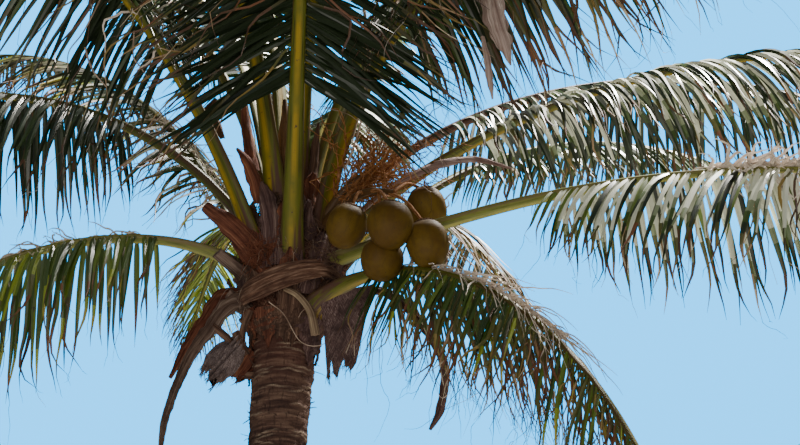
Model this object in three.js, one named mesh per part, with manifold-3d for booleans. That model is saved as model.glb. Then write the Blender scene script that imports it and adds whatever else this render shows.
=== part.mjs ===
// A coconut palm: one leaning ringed trunk, the fibrous heart that its leaf bases form, a crown of
// fronds and the dry bracts that hang round the heart.
// Units are millimetres, +Z is up, and the origin is the middle of the flat cut at ground level.
import * as THREE from "three";
import { mergeVertices } from "three/addons/utils/BufferGeometryUtils.js";
import Module from "manifold-3d";

const wasm = await Module();
wasm.setup();

// Driving dimensions
const HEART_HEIGHT = 6000; // height of the middle of the heart, where the fronds leave
const HEART_LEAN = 280; // how far the heart stands to the +X side of the foot
const LEAN_POWER = 1.2; // the trunk is nearly straight and leans a little more higher up
const TRUNK_TOP = 5720;
const TRUNK_SIDES = 20;
const TRUNK_STEPS = 22;
const TRUNK_RING_POWER = 1.5; // over 1 sets the rings closer together at the flared foot
const HEART_SIDES = 20;
const SEAT_GAP = 0.3; // clearance between touching pieces
const DEGREE = Math.PI / 180;

// Radius of the trunk by height: the swollen foot, the even stem and the slightly wider neck
const TRUNK_RADII = [
  [0, 290],
  [90, 252],
  [260, 206],
  [600, 170],
  [1200, 151],
  [2600, 138],
  [4600, 129],
  [5250, 128],
  [5450, 132],
  [TRUNK_TOP, 146],
];

// Radius of the heart by height above its middle
const HEART_RADII = [
  [-280, 150],
  [-225, 176],
  [-150, 200],
  [-60, 220],
  [40, 226],
  [150, 212],
  [260, 182],
  [370, 140],
  [460, 96],
  [520, 48],
];

// Sizes that every frond shares, as shares of its length or in millimetres
const STALK_BASE = [60, 34]; // half width and half height of the stalk where it leaves the heart
const STALK_END = [34, 23]; // the same at the first leaflet
const RIB_TIP = [6, 5]; // the same at the tip
const BLADE_MIDDLE = 6; // half thickness of the blade half way out
const LEAFLET_MIDDLE = 0.5;
const STALK_TAPER = 0.55; // under 1 narrows the stalk soonest next to the heart
const STALK_EDGE = 0.7; // corners of the stalk's section, as a share of its half width and height
const STALK_RINGS = 4;
const BLADE_RINGS = 10;
const LEAFLET_STEPS = 6;
const RIB_STEPS = 60;
const HEART_BITE = 60; // how far inside the surface of the heart a stalk starts

// Leaflets along the blade: their length is a sine arch from a frond's own start to the common end of
// the half turn, and they turn forwards from the first to the last
const LEAFLET_ARCH = { end: 0.95, power: 0.85, fullness: 0.7, least: 0.16 };
const LEAFLET_TURN = { first: 88, change: 62, power: 1.3 }; // degrees from the rib
const BLADE_LEAN = 0.6; // how far the blade's thickness leans outwards

// One row for each frond: the compass angle it leaves at (0 is +X, 90 is +Y), its rise in degrees at
// the heart and at the tip, and its height on the heart. The rest is as in USUAL where a row has no
// other value: how soon it bends (under 1 is early), its length, the share of bare stalk, how many
// times thicker than usual the stalk starts, the length of its longest leaflets, where on the arch its
// first leaflets stand (more makes them longer), how many degrees they lean back towards the heart, how
// much they droop, how much more they do so at the tip than at the root, how far out on the heart it
// starts, and the ring at its bend, where it is split into an inner and an outer node.
const USUAL = {
  bend: 1,
  length: 3100,
  bare: 0.24,
  stout: 1,
  leaflet: 600,
  start: 0.12,
  back: 0,
  droop: 1.4,
  curve: 1.3,
  out: 190,
  split: 8,
};
const FRONDS = {
  front_high: {
    turn: -86, rise: 66, fall: 5, up: 0, length: 3300, leaflet: 880, start: 0.32, droop: 0.85, curve: 0.5,
  },
  left_front_high: {
    turn: -144, rise: 66, fall: -10, up: 120, bend: 1.2, length: 3200, bare: 0.28, leaflet: 820, droop: 1.1,
    curve: 0.7,
  },
  left_mid: {
    turn: 168, rise: 56, fall: -45, up: 260, length: 3200, bare: 0.26, leaflet: 720, droop: 2.4,
  },
  left_low: {
    turn: 180, rise: 52, fall: -70, up: 30, bend: 0.5, bare: 0.14, stout: 1.2, leaflet: 740, droop: 2.4,
    split: 6,
  },
  back_left_low: { turn: 104, rise: 55, fall: -20, up: 100, bend: 0.8, length: 2800, leaflet: 520 },
  right_front_low: {
    turn: -42, rise: 42, fall: -76, up: -160, bend: 0.42, length: 2900, bare: 0.12, stout: 1.4,
    leaflet: 660, start: 0.2, back: 14, droop: 2.6, curve: 0.6, split: 6,
  },
  right_mid: {
    turn: -35, rise: 5, fall: -26, up: 30, bend: 1.3, length: 3300, bare: 0.36, leaflet: 610, back: 24,
    droop: 2.4,
  },
  right_upper_front: {
    turn: -8, rise: 47, fall: -17, up: 150, bend: 0.8, length: 3400, leaflet: 580, back: -22,
    droop: 1.2, curve: 1.7,
  },
  right_upper_back: {
    turn: 15, rise: 57, fall: -20, up: 265, out: 150, bend: 0.8, length: 3400, leaflet: 560,
  },
  right_front_high: {
    turn: -39.5, rise: 79, fall: -30, up: 240, bend: 0.95, length: 3200, bare: 0.3, leaflet: 800,
    droop: 1.3, curve: 0.8,
  },
  back_high: { turn: 118, rise: 77, fall: 16, up: 330, out: 150, leaflet: 560, droop: 0.9 },
  back_right_low: { turn: 61, rise: 50, fall: -33, up: 160, length: 2600, leaflet: 480 },
  back_mid: { turn: 80, rise: 67, fall: -6, up: 260, leaflet: 460 },
  back_left_mid: {
    turn: 137.5, rise: 68, fall: 12, up: 0, bare: 0.17, leaflet: 460, start: 0.28, droop: 1,
  },
  back_right_mid: { turn: 37.5, rise: 55, fall: -4, up: 0, bare: 0.37, leaflet: 370 },
  back_right_high: { turn: 48, rise: 78, fall: 16, up: 370, out: 130, leaflet: 460, droop: 0.9 },
  left_high: {
    turn: 176, rise: 78, fall: 12, up: 400, out: 110, length: 3000, leaflet: 480, droop: 0.8,
  },
  front_left_high: {
    turn: -120, rise: 80, fall: 20, up: 330, out: 130, length: 3000, leaflet: 500, droop: 0.8,
  },
  front_right_top: {
    turn: -70, rise: 85, fall: 40, up: 440, out: 90, length: 2800, leaflet: 380, droop: 0.4,
  },
  right_top: { turn: 0, rise: 80, fall: 22, up: 430, out: 90, length: 2900, leaflet: 380, droop: 0.6 },
  back_top: { turn: 120, rise: 86, fall: 50, up: 450, out: 70, length: 2600, leaflet: 400, droop: 0.3 },
};

// The unopened spear leaf in the middle of the crown, which loses the share narrowed by its tip
const SPEAR = {
  length: 2100, halfWidth: 34, halfDepth: 26, lean: 0.04, narrowed: 0.93, power: 1.6, steps: 6,
};

// The dry bracts that hang from the heart: points of the centre line in the plane of compass angle
// turn, as distance out from the heart's middle and height above it, the half width at each point, and
// the roll in degrees, from a bract that lies across that plane to one that stands in it.
const BRACTS = {
  bract_left_short: {
    turn: -172,
    roll: 70,
    line: [[180, -90], [298, -109], [370, -216], [453, -360], [514, -492]],
    halfWidth: [30, 40, 34, 24, 8],
  },
  bract_left_long: {
    turn: -156,
    roll: 62,
    line: [[180, -135], [288, -171], [377, -301], [455, -428], [530, -621], [569, -783], [575, -960]],
    halfWidth: [36, 42, 36, 30, 24, 20, 7],
  },
  bract_right_long: {
    turn: -20,
    roll: 68,
    line: [[200, -130], [388, -107], [518, -171], [655, -351], [722, -519], [699, -696], [653, -780]],
    halfWidth: [26, 26, 24, 20, 20, 18, 6],
  },
  bract_upper_right: {
    turn: -26,
    roll: 50,
    line: [[172, 158], [267, 208], [461, 328], [629, 392], [773, 413], [915, 398], [1077, 322]],
    halfWidth: [10, 15, 32, 40, 36, 24, 6],
  },
};
const BRACT_HALF_DEPTH = 9;
const BRACT_RINGS = 10;
const BRACT_SIDES = 8;

// Colour, roughness and metalness of each finish
const FINISHES = {
  bark: new THREE.MeshStandardMaterial({ color: 0x6e5648, roughness: 0.95, metalness: 0 }),
  fibre: new THREE.MeshStandardMaterial({ color: 0x75492f, roughness: 1, metalness: 0 }),
  frond: new THREE.MeshStandardMaterial({ color: 0x4c6a22, roughness: 0.5, metalness: 0 }),
  dry: new THREE.MeshStandardMaterial({ color: 0x8a6a52, roughness: 0.85, metalness: 0 }),
};

// Value at x on the straight lines through [x, value] pairs
function along(pairs, x) {
  for (let i = 1; i < pairs.length; i++) {
    const [x0, v0] = pairs[i - 1];
    const [x1, v1] = pairs[i];
    if (x <= x1) return v0 + ((v1 - v0) * (x - x0)) / (x1 - x0);
  }
  return pairs[pairs.length - 1][1];
}

// Triangles that close a ring by steps across it, from its first point and the opposite one outwards
// to both sides, so that a thin bent ring is filled without a fold
function capFaces(first, sides) {
  const half = sides / 2;
  const faces = [];
  for (const side of [0, half]) {
    for (let k = 0; k < half / 2; k++) {
      const a = first + side + k;
      const c = first + side + half - k - 1;
      const d = first + ((side + half - k) % sides);
      faces.push(a, a + 1, d);
      if (a + 1 < c) faces.push(a + 1, c, d);
    }
  }
  return faces;
}

// A closed geometry through rings of points, which all turn anticlockwise seen from the last ring.
// A ring has a multiple of four points. The quads of each second quarter are cut along the other
// diagonal, so that the two walls of a thin twisted blade are cut alike and keep their distance.
function loft(rings) {
  const sides = rings[0].length;
  const places = [];
  for (const ring of rings) for (const p of ring) places.push(p.x, p.y, p.z);
  const faces = capFaces(0, sides).reverse();
  for (let r = 0; r + 1 < rings.length; r++) {
    for (let i = 0; i < sides; i++) {
      const a = r * sides + i;
      const b = r * sides + ((i + 1) % sides);
      if (i % (sides / 2) < sides / 4) faces.push(a, b, b + sides, a, b + sides, a + sides);
      else faces.push(a, b, a + sides, b, b + sides, a + sides);
    }
  }
  faces.push(...capFaces((rings.length - 1) * sides, sides));
  const geometry = new THREE.BufferGeometry();
  geometry.setAttribute("position", new THREE.Float32BufferAttribute(places, 3));
  geometry.setIndex(faces);
  return geometry;
}

// three.js geometry to a manifold-3d solid, and back
function toSolid(geometry) {
  const bare = geometry.clone();
  bare.deleteAttribute("normal");
  bare.deleteAttribute("uv");
  const merged = mergeVertices(bare, 1e-3);
  return new wasm.Manifold(
    new wasm.Mesh({
      numProp: 3,
      vertProperties: merged.attributes.position.array,
      triVerts: new Uint32Array(merged.index.array),
    }),
  );
}

function toGeometry(solid) {
  const mesh = solid.getMesh();
  const geometry = new THREE.BufferGeometry();
  geometry.setAttribute("position", new THREE.BufferAttribute(mesh.vertProperties, 3));
  geometry.setIndex(new THREE.BufferAttribute(mesh.triVerts, 1));
  geometry.computeVertexNormals();
  return geometry;
}

// The largest separate body of a solid
function largest(solid) {
  return solid.decompose().reduce((a, b) => (b.volume() > a.volume() ? b : a));
}

// Centre line of the trunk: it leans to +X, a little more with height
function trunkCentre(z) {
  return new THREE.Vector3(HEART_LEAN * (z / HEART_HEIGHT) ** LEAN_POWER, 0, z);
}

// A round level ring of a radius about a centre
function roundRing(centre, radius, sides) {
  return Array.from({ length: sides }, (_, i) => {
    const a = (2 * Math.PI * i) / sides;
    return new THREE.Vector3(centre.x + radius * Math.cos(a), centre.y + radius * Math.sin(a), centre.z);
  });
}

function trunkGeometry() {
  const rings = [];
  for (let i = 0; i <= TRUNK_STEPS; i++) {
    const z = TRUNK_TOP * (i / TRUNK_STEPS) ** TRUNK_RING_POWER;
    rings.push(roundRing(trunkCentre(z), along(TRUNK_RADII, z), TRUNK_SIDES));
  }
  return loft(rings);
}

// The heart, grown outwards by a clearance
function heartGeometry(grow) {
  const rings = HEART_RADII.map(([up, radius], i) => {
    const z = HEART_HEIGHT + up + (i === 0 ? SEAT_GAP - grow : 0);
    return roundRing(trunkCentre(z), radius + grow, HEART_SIDES);
  });
  rings[rings.length - 1].forEach((p) => (p.z += grow));
  return loft(rings);
}

const heart = heartGeometry(0);
const heartClear = toSolid(heartGeometry(SEAT_GAP));
const heartMiddle = trunkCentre(HEART_HEIGHT);

// Rise of a frond's rib in radians at a share u of its length
function riseAt(f, u) {
  return (f.rise + (f.fall - f.rise) * u ** f.bend) * DEGREE;
}

// Centre line of a frond's rib as a function of the share u of its length
function ribLine(f) {
  const steps = RIB_STEPS;
  const turn = f.turn * DEGREE;
  const out = new THREE.Vector3(Math.cos(turn), Math.sin(turn), 0);
  const start = heartMiddle.clone().addScaledVector(out, f.out);
  start.z += f.up;
  const points = [start];
  for (let i = 0; i < steps; i++) {
    const rise = riseAt(f, (i + 0.5) / steps);
    const next = points[i].clone().addScaledVector(out, (Math.cos(rise) * f.length) / steps);
    next.z += (Math.sin(rise) * f.length) / steps;
    points.push(next);
  }
  return (u) => {
    const x = Math.min(Math.max(u, 0), 1) * steps;
    const i = Math.min(Math.floor(x), steps - 1);
    return points[i].clone().lerp(points[i + 1], x - i);
  };
}

// Length of a frond's leaflets at a share w of the blade, as a share of the longest
function leafletShare(f, w) {
  const { end, power, fullness, least } = LEAFLET_ARCH;
  return Math.max(least, Math.sin(Math.PI * (f.start + (end - f.start) * w ** power)) ** fullness);
}

// Angle between a leaflet and the rib: the first stand about square to it, the last point forwards
function leafletAngle(f, w) {
  return (LEAFLET_TURN.first + f.back - LEAFLET_TURN.change * w ** LEAFLET_TURN.power) * DEGREE;
}

// A point at share v of a leaflet that starts at root on the side given by across. It starts level with
// the blade and bends down under its own weight.
function leafletPoint(f, root, tangent, across, w, v) {
  const angle = leafletAngle(f, w);
  const reach = f.leaflet * leafletShare(f, w);
  const start = tangent.clone().multiplyScalar(Math.cos(angle)).addScaledVector(across, Math.sin(angle));
  const point = root.clone();
  for (let i = 0; i < LEAFLET_STEPS; i++) {
    const t = (v * (i + 0.5)) / LEAFLET_STEPS;
    const way = start.clone();
    way.z -= f.droop * (1 + f.curve * (t - LEAFLET_MIDDLE));
    point.addScaledVector(way.normalize(), (reach * v) / LEAFLET_STEPS);
  }
  return point;
}

// Share of the frond's length at ring number i
function ringShare(f, i) {
  if (i <= STALK_RINGS) return (f.bare * i) / STALK_RINGS;
  return f.bare + ((1 - f.bare) * (i - STALK_RINGS)) / BLADE_RINGS;
}

// Half width and half height of the stalk and rib at a share u of the frond
function ribSize(f, u) {
  const base = STALK_BASE.map((size) => size * f.stout);
  const [from, to, t] =
    u < f.bare
      ? [base, STALK_END, (u / f.bare) ** STALK_TAPER]
      : [STALK_END, RIB_TIP, (u - f.bare) / (1 - f.bare)];
  return [0, 1].map((k) => from[k] + (to[k] - from[k]) * t);
}

// The eight-sided rings of a frond, from the stalk's start in the heart to the tip of the blade.
// A ring goes round the rib's top, the left leaflets' tips, the underside and the right tips.
function frondRings(f) {
  const rib = ribLine(f);
  const turn = f.turn * DEGREE;
  const out = new THREE.Vector3(Math.cos(turn), Math.sin(turn), 0);
  const left = new THREE.Vector3(-Math.sin(turn), Math.cos(turn), 0);
  return Array.from({ length: STALK_RINGS + BLADE_RINGS + 1 }, (_, i) => {
    const u = ringShare(f, i);
    const rise = riseAt(f, u);
    const tangent = out.clone().multiplyScalar(Math.cos(rise));
    tangent.z = Math.sin(rise);
    const above = out.clone().multiplyScalar(-Math.sin(rise));
    above.z = Math.cos(rise);
    const root = rib(u);
    if (i === 0) root.addScaledVector(tangent, -HEART_BITE);
    const [halfWidth, halfHeight] = ribSize(f, u);
    const w = Math.max(0, (u - f.bare) / (1 - f.bare));
    const bare = i <= STALK_RINGS;
    const side = (sign) => {
      const across = left.clone().multiplyScalar(sign);
      if (bare) {
        const edge = root.clone().addScaledVector(across, halfWidth);
        const corner = root.clone().addScaledVector(across, halfWidth * STALK_EDGE);
        return {
          upper: corner.clone().addScaledVector(above, halfHeight * STALK_EDGE),
          tip: edge,
          lower: corner.clone().addScaledVector(above, -halfHeight * STALK_EDGE),
        };
      }
      const middle = leafletPoint(f, root, tangent, across, w, LEAFLET_MIDDLE);
      const tip = leafletPoint(f, root, tangent, across, w, 1);
      const lift = above.clone().addScaledVector(across, BLADE_LEAN).normalize();
      return {
        upper: middle.clone().addScaledVector(lift, BLADE_MIDDLE),
        tip,
        lower: middle.clone().addScaledVector(lift, -BLADE_MIDDLE),
      };
    };
    const l = side(1);
    const r = side(-1);
    const top = root.clone().addScaledVector(above, halfHeight);
    const under = root.clone().addScaledVector(above, -halfHeight);
    return [top, r.upper, r.tip, r.lower, under, l.lower, l.tip, l.upper];
  });
}

// Inner and outer solids of a frond, split at its bend with a seat gap between them
function frondSolids(f) {
  const rings = frondRings(f);
  const inner = rings.slice(0, f.split + 1);
  const outer = rings.slice(f.split).map((ring) => ring.map((p) => p.clone()));
  const turn = f.turn * DEGREE;
  const rise = riseAt(f, ringShare(f, f.split));
  const step = new THREE.Vector3(
    Math.cos(turn) * Math.cos(rise),
    Math.sin(turn) * Math.cos(rise),
    Math.sin(rise),
  ).multiplyScalar(SEAT_GAP);
  outer[0].forEach((p) => p.add(step));
  return { inner: toSolid(loft(inner)), outer: toSolid(loft(outer)) };
}

// A bract: a flattened tapering blade along a smooth line through its points
function bractSolid(b) {
  const turn = b.turn * DEGREE;
  const out = new THREE.Vector3(Math.cos(turn), Math.sin(turn), 0);
  const across = new THREE.Vector3(-Math.sin(turn), Math.cos(turn), 0);
  const curve = new THREE.CatmullRomCurve3(
    b.line.map(([away, up]) => {
      const p = heartMiddle.clone().addScaledVector(out, away);
      p.z += up;
      return p;
    }),
  );
  const widths = b.halfWidth.map((h, i) => [i / (b.halfWidth.length - 1), h]);
  const rings = [];
  for (let i = 0; i <= BRACT_RINGS; i++) {
    const t = i / BRACT_RINGS;
    const centre = curve.getPoint(t);
    const tangent = curve.getTangent(t);
    const broad = across.clone().applyAxisAngle(tangent, b.roll * DEGREE);
    const above = new THREE.Vector3().crossVectors(tangent, broad);
    const ring = [];
    for (let k = 0; k < BRACT_SIDES; k++) {
      const a = (2 * Math.PI * k) / BRACT_SIDES;
      ring.push(
        centre
          .clone()
          .addScaledVector(broad, along(widths, t) * Math.cos(a))
          .addScaledVector(above, Math.min(BRACT_HALF_DEPTH, along(widths, t)) * Math.sin(a)),
      );
    }
    rings.push(ring);
  }
  return toSolid(loft(rings));
}

function spearSolid() {
  const rings = [];
  const foot = heartMiddle.clone();
  foot.z += HEART_RADII[HEART_RADII.length - 1][0] - HEART_BITE;
  for (let i = 0; i <= SPEAR.steps; i++) {
    const t = i / SPEAR.steps;
    const shrink = 1 - SPEAR.narrowed * t ** SPEAR.power;
    const centre = foot.clone();
    centre.x += SPEAR.length * SPEAR.lean * t;
    centre.z += SPEAR.length * t;
    const ring = [];
    for (let k = 0; k < BRACT_SIDES; k++) {
      const a = (2 * Math.PI * k) / BRACT_SIDES;
      ring.push(
        new THREE.Vector3(
          centre.x + SPEAR.halfWidth * shrink * Math.cos(a),
          centre.y + SPEAR.halfDepth * shrink * Math.sin(a),
          centre.z,
        ),
      );
    }
    rings.push(ring);
  }
  return toSolid(loft(rings));
}

const palm = new THREE.Group();

function addMesh(name, geometry, finish) {
  const mesh = new THREE.Mesh(geometry, FINISHES[finish]);
  mesh.name = name;
  palm.add(mesh);
}

// Place a solid that grows out of the heart, cut so that it ends just outside it
function place(name, solid, finish) {
  addMesh(name, toGeometry(largest(solid.subtract(heartClear))), finish);
}

addMesh("trunk", trunkGeometry(), "bark");
addMesh("heart", heart, "fibre");
place("spear_leaf", spearSolid(), "frond");
for (const [name, row] of Object.entries(FRONDS)) {
  const { inner, outer } = frondSolids({ ...USUAL, ...row });
  place(`frond_${name}_inner`, inner, "frond");
  place(`frond_${name}_outer`, outer, "frond");
}
for (const [name, b] of Object.entries(BRACTS)) place(name, bractSolid(b), "dry");

export default palm;
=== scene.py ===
# %% [markdown]
# # A coconut palm
# A coconut palm is one long stem with a bunch of huge feather leaves, the fronds, at its top. The
# packed model gives its frame: the trunk, the fibrous heart at the crown's middle, two thin blades for
# each frond and the dry bracts. Those solids have the right size and place, but a blade is not a leaf.
# In this lesson each solid is replaced by what grows there: rings and scars on the trunk, woven fibre
# on the heart, and a stalk with some two hundred leaflets for each frond.

import bpy
import numpy as np
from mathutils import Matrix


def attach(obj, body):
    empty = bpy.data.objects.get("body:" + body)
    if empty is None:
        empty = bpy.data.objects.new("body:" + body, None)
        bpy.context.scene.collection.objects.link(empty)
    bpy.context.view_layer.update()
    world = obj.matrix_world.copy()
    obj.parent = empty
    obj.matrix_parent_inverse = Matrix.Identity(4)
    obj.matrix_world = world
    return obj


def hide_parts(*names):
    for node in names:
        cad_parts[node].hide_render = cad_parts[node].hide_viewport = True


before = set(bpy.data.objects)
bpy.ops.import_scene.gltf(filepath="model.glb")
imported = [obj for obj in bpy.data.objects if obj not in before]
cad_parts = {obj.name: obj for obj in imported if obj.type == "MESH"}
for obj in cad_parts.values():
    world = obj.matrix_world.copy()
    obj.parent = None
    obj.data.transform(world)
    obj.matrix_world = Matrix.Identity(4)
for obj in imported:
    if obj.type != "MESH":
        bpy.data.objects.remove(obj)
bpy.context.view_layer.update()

# %% [markdown]
# ## Camera
# The photograph looks up into the crown from the ground. A long lens keeps the near fronds from growing
# larger than the far ones. The camera has no shift: it is simply aimed at the crown.

# %% Camera
CAMERA_PLACE = (0.767, -11.0, 1.6)
CAMERA_PITCH = 23.0  # degrees above the horizon
CAMERA_LENS = 120.4  # mm
CAMERA_SENSOR = 36.0  # mm across


def new_object(name, data):
    """Put an object with some data in the scene."""
    made = bpy.data.objects.new(name, data)
    bpy.context.scene.collection.objects.link(made)
    return made


camera_data = bpy.data.cameras.new("camera")
camera_data.lens = CAMERA_LENS
camera_data.sensor_width = CAMERA_SENSOR
camera = new_object("camera", camera_data)
camera.location = CAMERA_PLACE
camera.rotation_euler = (np.radians(90.0 + CAMERA_PITCH), 0.0, 0.0)
bpy.context.scene.camera = camera
print("camera at", CAMERA_PLACE, "lens", CAMERA_LENS)

# %% [markdown]
# ## Light
# The sun stands high and a little behind the palm, so that the tops of the fronds glint and their
# undersides lie in deep shade. Three plain lights do this: a strong lamp high at the back, a weak broad
# one in front for the shaded side, and a dim pale world that fills in from all round. Where the camera
# looks straight at the world it sees a bright plain blue, so that the crown stands out against it.

# %% Light and world
WORLD_COLOUR = (0.85, 0.93, 1.0)
WORLD_STRENGTH = 0.22
BACKDROP_COLOUR = (0.0, 0.5, 1.15)
BACKDROP_STRENGTH = 3.1
CROWN = (0.28, 0.0, 6.4)
LAMPS = {  # place, width in metres, power in watts and colour
    "sun_side": ((5.5, 4.0, 19.0), 2.0, 14500.0, (1.0, 0.96, 0.9)),
    "front_fill": ((-3.0, -13.0, 3.0), 8.0, 640.0, (1.0, 0.93, 0.84)),
}


def square_lamp(name, place, width, power, colour):
    """Make a square lamp at a place, turned so that it shines on the crown."""
    data = bpy.data.lights.new(name, "AREA")
    data.size = width
    data.energy = power
    data.color = colour
    lamp = new_object(name, data)
    lamp.location = place
    way = np.subtract(CROWN, place)
    flat = np.hypot(way[0], way[1])
    lamp.rotation_euler = (np.arctan2(flat, -way[2]), 0.0, np.arctan2(way[1], way[0]) - np.pi / 2)


for lamp_name, values in LAMPS.items():
    square_lamp(lamp_name, *values)

world = bpy.data.worlds.new("pale_world")
world.use_nodes = True
sky = world.node_tree
glow = sky.nodes["Background"]
backdrop = sky.nodes.new("ShaderNodeBackground")
for shader, colour, strength in (
    (glow, WORLD_COLOUR, WORLD_STRENGTH), (backdrop, BACKDROP_COLOUR, BACKDROP_STRENGTH)
):
    shader.inputs["Color"].default_value = (*colour, 1.0)
    shader.inputs["Strength"].default_value = strength
chosen = sky.nodes.new("ShaderNodeMixShader")
seen = sky.nodes.new("ShaderNodeLightPath")
sky.links.new(seen.outputs["Is Camera Ray"], chosen.inputs["Fac"])
sky.links.new(glow.outputs["Background"], chosen.inputs[1])
sky.links.new(backdrop.outputs["Background"], chosen.inputs[2])
sky.links.new(chosen.outputs["Shader"], sky.nodes["World Output"].inputs["Surface"])
bpy.context.scene.world = world

# %% [markdown]
# ## Surfaces from numbers
# Nearly everything on a palm is long and thin, so one kind of surface serves for all of it: a tube,
# which is a row of rings. The points of all rings are worked out at once as a numpy array of shape
# (tubes, rings, columns, 3). One helper joins neighbouring points into four-cornered faces and closes
# both ends, for one tube or for thousands of leaflets together. A sheet, such as a sheath, is a tube
# pressed flat: its ring runs along the front of the sheet and back along its rear.
# Each point also keeps its own place on the tube, as an attribute named grain: across and above the
# centre line, and along it, in metres. Materials read it, so their streaks run along the piece.

# %% Meshes
UPWARDS = np.array((0.0, 0.0, 1.0))
seeded = np.random.default_rng  # a generator that draws the same numbers in every run


def shares(count):
    """Evenly spaced shares from 0 to 1."""
    return np.linspace(0, 1, count)


def unit(vectors):
    """The same vectors at length one."""
    return vectors / np.maximum(np.linalg.norm(vectors, axis=-1, keepdims=True), 1e-9)


def full_turn(columns):
    """Evenly spread angles once round a ring."""
    return np.linspace(0, 2 * np.pi, columns, endpoint=False)


def volumes(tubes):
    """Six times each tube's volume: over all faces, the sum of a corner times the cross of two others.

    Corners are measured from the tube's own middle, and an end is a fan about the middle of its ring.
    """
    local = tubes - tubes.mean((1, 2), keepdims=True)
    a, d = local[:, :-1], local[:, 1:]
    b, c = np.roll(a, -1, axis=2), np.roll(d, -1, axis=2)
    walls = (a * np.cross(b, c)).sum(-1) + (a * np.cross(c, d)).sum(-1)
    ends = []
    for ring in (local[:, -1], local[:, 0, ::-1]):
        ends.append((ring.mean(1) * np.cross(ring, np.roll(ring, -1, axis=1)).sum(1)).sum(-1))
    return walls.sum((1, 2)) + sum(ends)


def tube_faces(count, rings, columns):
    """Wall faces (four corners) and end faces (one ring each) of a number of tubes."""
    tube, ring, column = np.meshgrid(
        np.arange(count), np.arange(rings - 1), np.arange(columns), indexing="ij"
    )
    a = (tube * rings + ring) * columns + column
    b = (tube * rings + ring) * columns + (column + 1) % columns
    walls = np.stack([a, b, b + columns, a + columns], -1).reshape(-1, 4)
    ends = np.arange(count)[:, None] * rings * columns + np.arange(columns)
    last = ends + (rings - 1) * columns
    return walls, np.concatenate([ends[:, ::-1], last])


print("faces of a tube of three rings of four:", sum(len(faces) for faces in tube_faces(1, 3, 4)))

# %% Tubes into a mesh


def make_tubes(name, tubes, finishes, bands=None, grain=None, crease=35.0, **extra):
    """Make one mesh piece of many closed tubes.

    tubes has shape (count, rings, columns, 3). bands gives the number of the finish of each wall face,
    in shape (count, rings - 1) or (count, rings - 1, columns). grain has the tubes' shape, and extra
    holds more numbers for each point by name. A tube that came out inside out has its columns reversed.
    """
    tubes = np.array(tubes, dtype=float)
    count, rings, columns = tubes.shape[:3]
    grain = np.zeros_like(tubes) if grain is None else np.array(grain, dtype=float)
    extra = {key: np.array(np.broadcast_to(v, (count, rings, columns)), float) for key, v in extra.items()}
    inside_out = volumes(tubes) < 0
    for field in (tubes, grain, *extra.values()):
        field[inside_out] = field[inside_out][:, :, ::-1]
    walls, ends = tube_faces(count, rings, columns)
    corners = np.concatenate([walls.ravel(), ends.ravel()])
    sizes = np.concatenate([np.full(len(walls), 4), np.full(len(ends), columns)])
    mesh = bpy.data.meshes.new(name)
    mesh.vertices.add(count * rings * columns)
    mesh.vertices.foreach_set("co", tubes.ravel())
    mesh.loops.add(len(corners))
    mesh.loops.foreach_set("vertex_index", corners.astype(np.int32))
    mesh.polygons.add(len(sizes))
    mesh.polygons.foreach_set("loop_start", (np.cumsum(sizes) - sizes).astype(np.int32))
    if bands is not None:
        bands = np.asarray(bands)
        bands = bands[..., None] if bands.ndim == 2 else bands
        bands = np.array(np.broadcast_to(bands, (count, rings - 1, columns)))
        turned = (columns - 2 - np.arange(columns)) % columns
        bands[inside_out] = bands[inside_out][:, :, turned]
        numbers = np.concatenate([bands.ravel(), bands[:, 0, 0], bands[:, -1, 0]])
        mesh.polygons.foreach_set("material_index", numbers.astype(np.int32))
    mesh.update(calc_edges=True)
    stored = mesh.attributes.new("grain", "FLOAT_VECTOR", "POINT")
    stored.data.foreach_set("vector", grain.ravel())
    for key, values in extra.items():
        stored = mesh.attributes.new(key, "FLOAT", "POINT")
        stored.data.foreach_set("value", values.ravel())
    mesh.shade_smooth()
    mesh.set_sharp_from_angle(angle=np.radians(crease))
    for finish in finishes:
        mesh.materials.append(finish)
    return new_object(name, mesh)


print("meshes are made by", make_tubes.__name__)

# %% Keeping a piece


def keep(piece, slot, *nodes):
    """Make a piece ride with the palm and hide the solids that it stands for. Its slot is not used."""
    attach(piece, "root")
    if nodes:
        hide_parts(*nodes)
    print(f"{piece.name}: {len(piece.data.loops) - 2 * len(piece.data.polygons)} triangles")


def grained_piece(name, slot, shape, finish, crease=60.0, nodes=(), **extra):
    """Make and keep a piece in one finish, from a shape that is given as its points and its grain.

    A piece whose finish reads no grain may have None for it.
    """
    points, grain = shape
    keep(make_tubes(name, points, [finish], grain=grain, crease=crease, **extra), slot, *nodes)


def joined(shapes):
    """Several shapes, each given as points and grain, as one."""
    return [np.concatenate(field) for field in zip(*shapes)]


print("kept pieces ride on the root body")

# %% [markdown]
# The shapes themselves come from a few more helpers. A curve goes smoothly through a few given points,
# a tube is swept along a line, a sheet gets its thickness from a middle surface, and a fibre wanders off
# from where it grows. Unevenness is a mean of a few sine waves: it is smooth, and the same in each run.

# %% Curves and sheets


def through(points, count):
    """Points on a smooth curve through the given ones, equally many between each two.

    The pieces of the curve are cubic, and its slope at a given point is half the step between the two
    points beside it.
    """
    points = np.asarray(points, dtype=float)
    padded = np.concatenate([2 * points[:1] - points[1:2], points, 2 * points[-1:] - points[-2:-1]])
    place = np.linspace(0, len(points) - 1, count)
    start = np.minimum(place.astype(int), len(points) - 2)
    t = (place - start)[:, None]
    p0, p1, p2, p3 = (padded[start + k] for k in range(4))
    bend = (2 * p0 - 5 * p1 + 4 * p2 - p3) * t**2 + (3 * p1 - p0 - 3 * p2 + p3) * t**3
    return 0.5 * (2 * p1 + (p2 - p0) * t + bend)


def spread(values, count):
    """Evenly spaced values drawn out to count of them, straight between each two."""
    return np.interp(shares(count), shares(len(values)), values)


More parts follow.
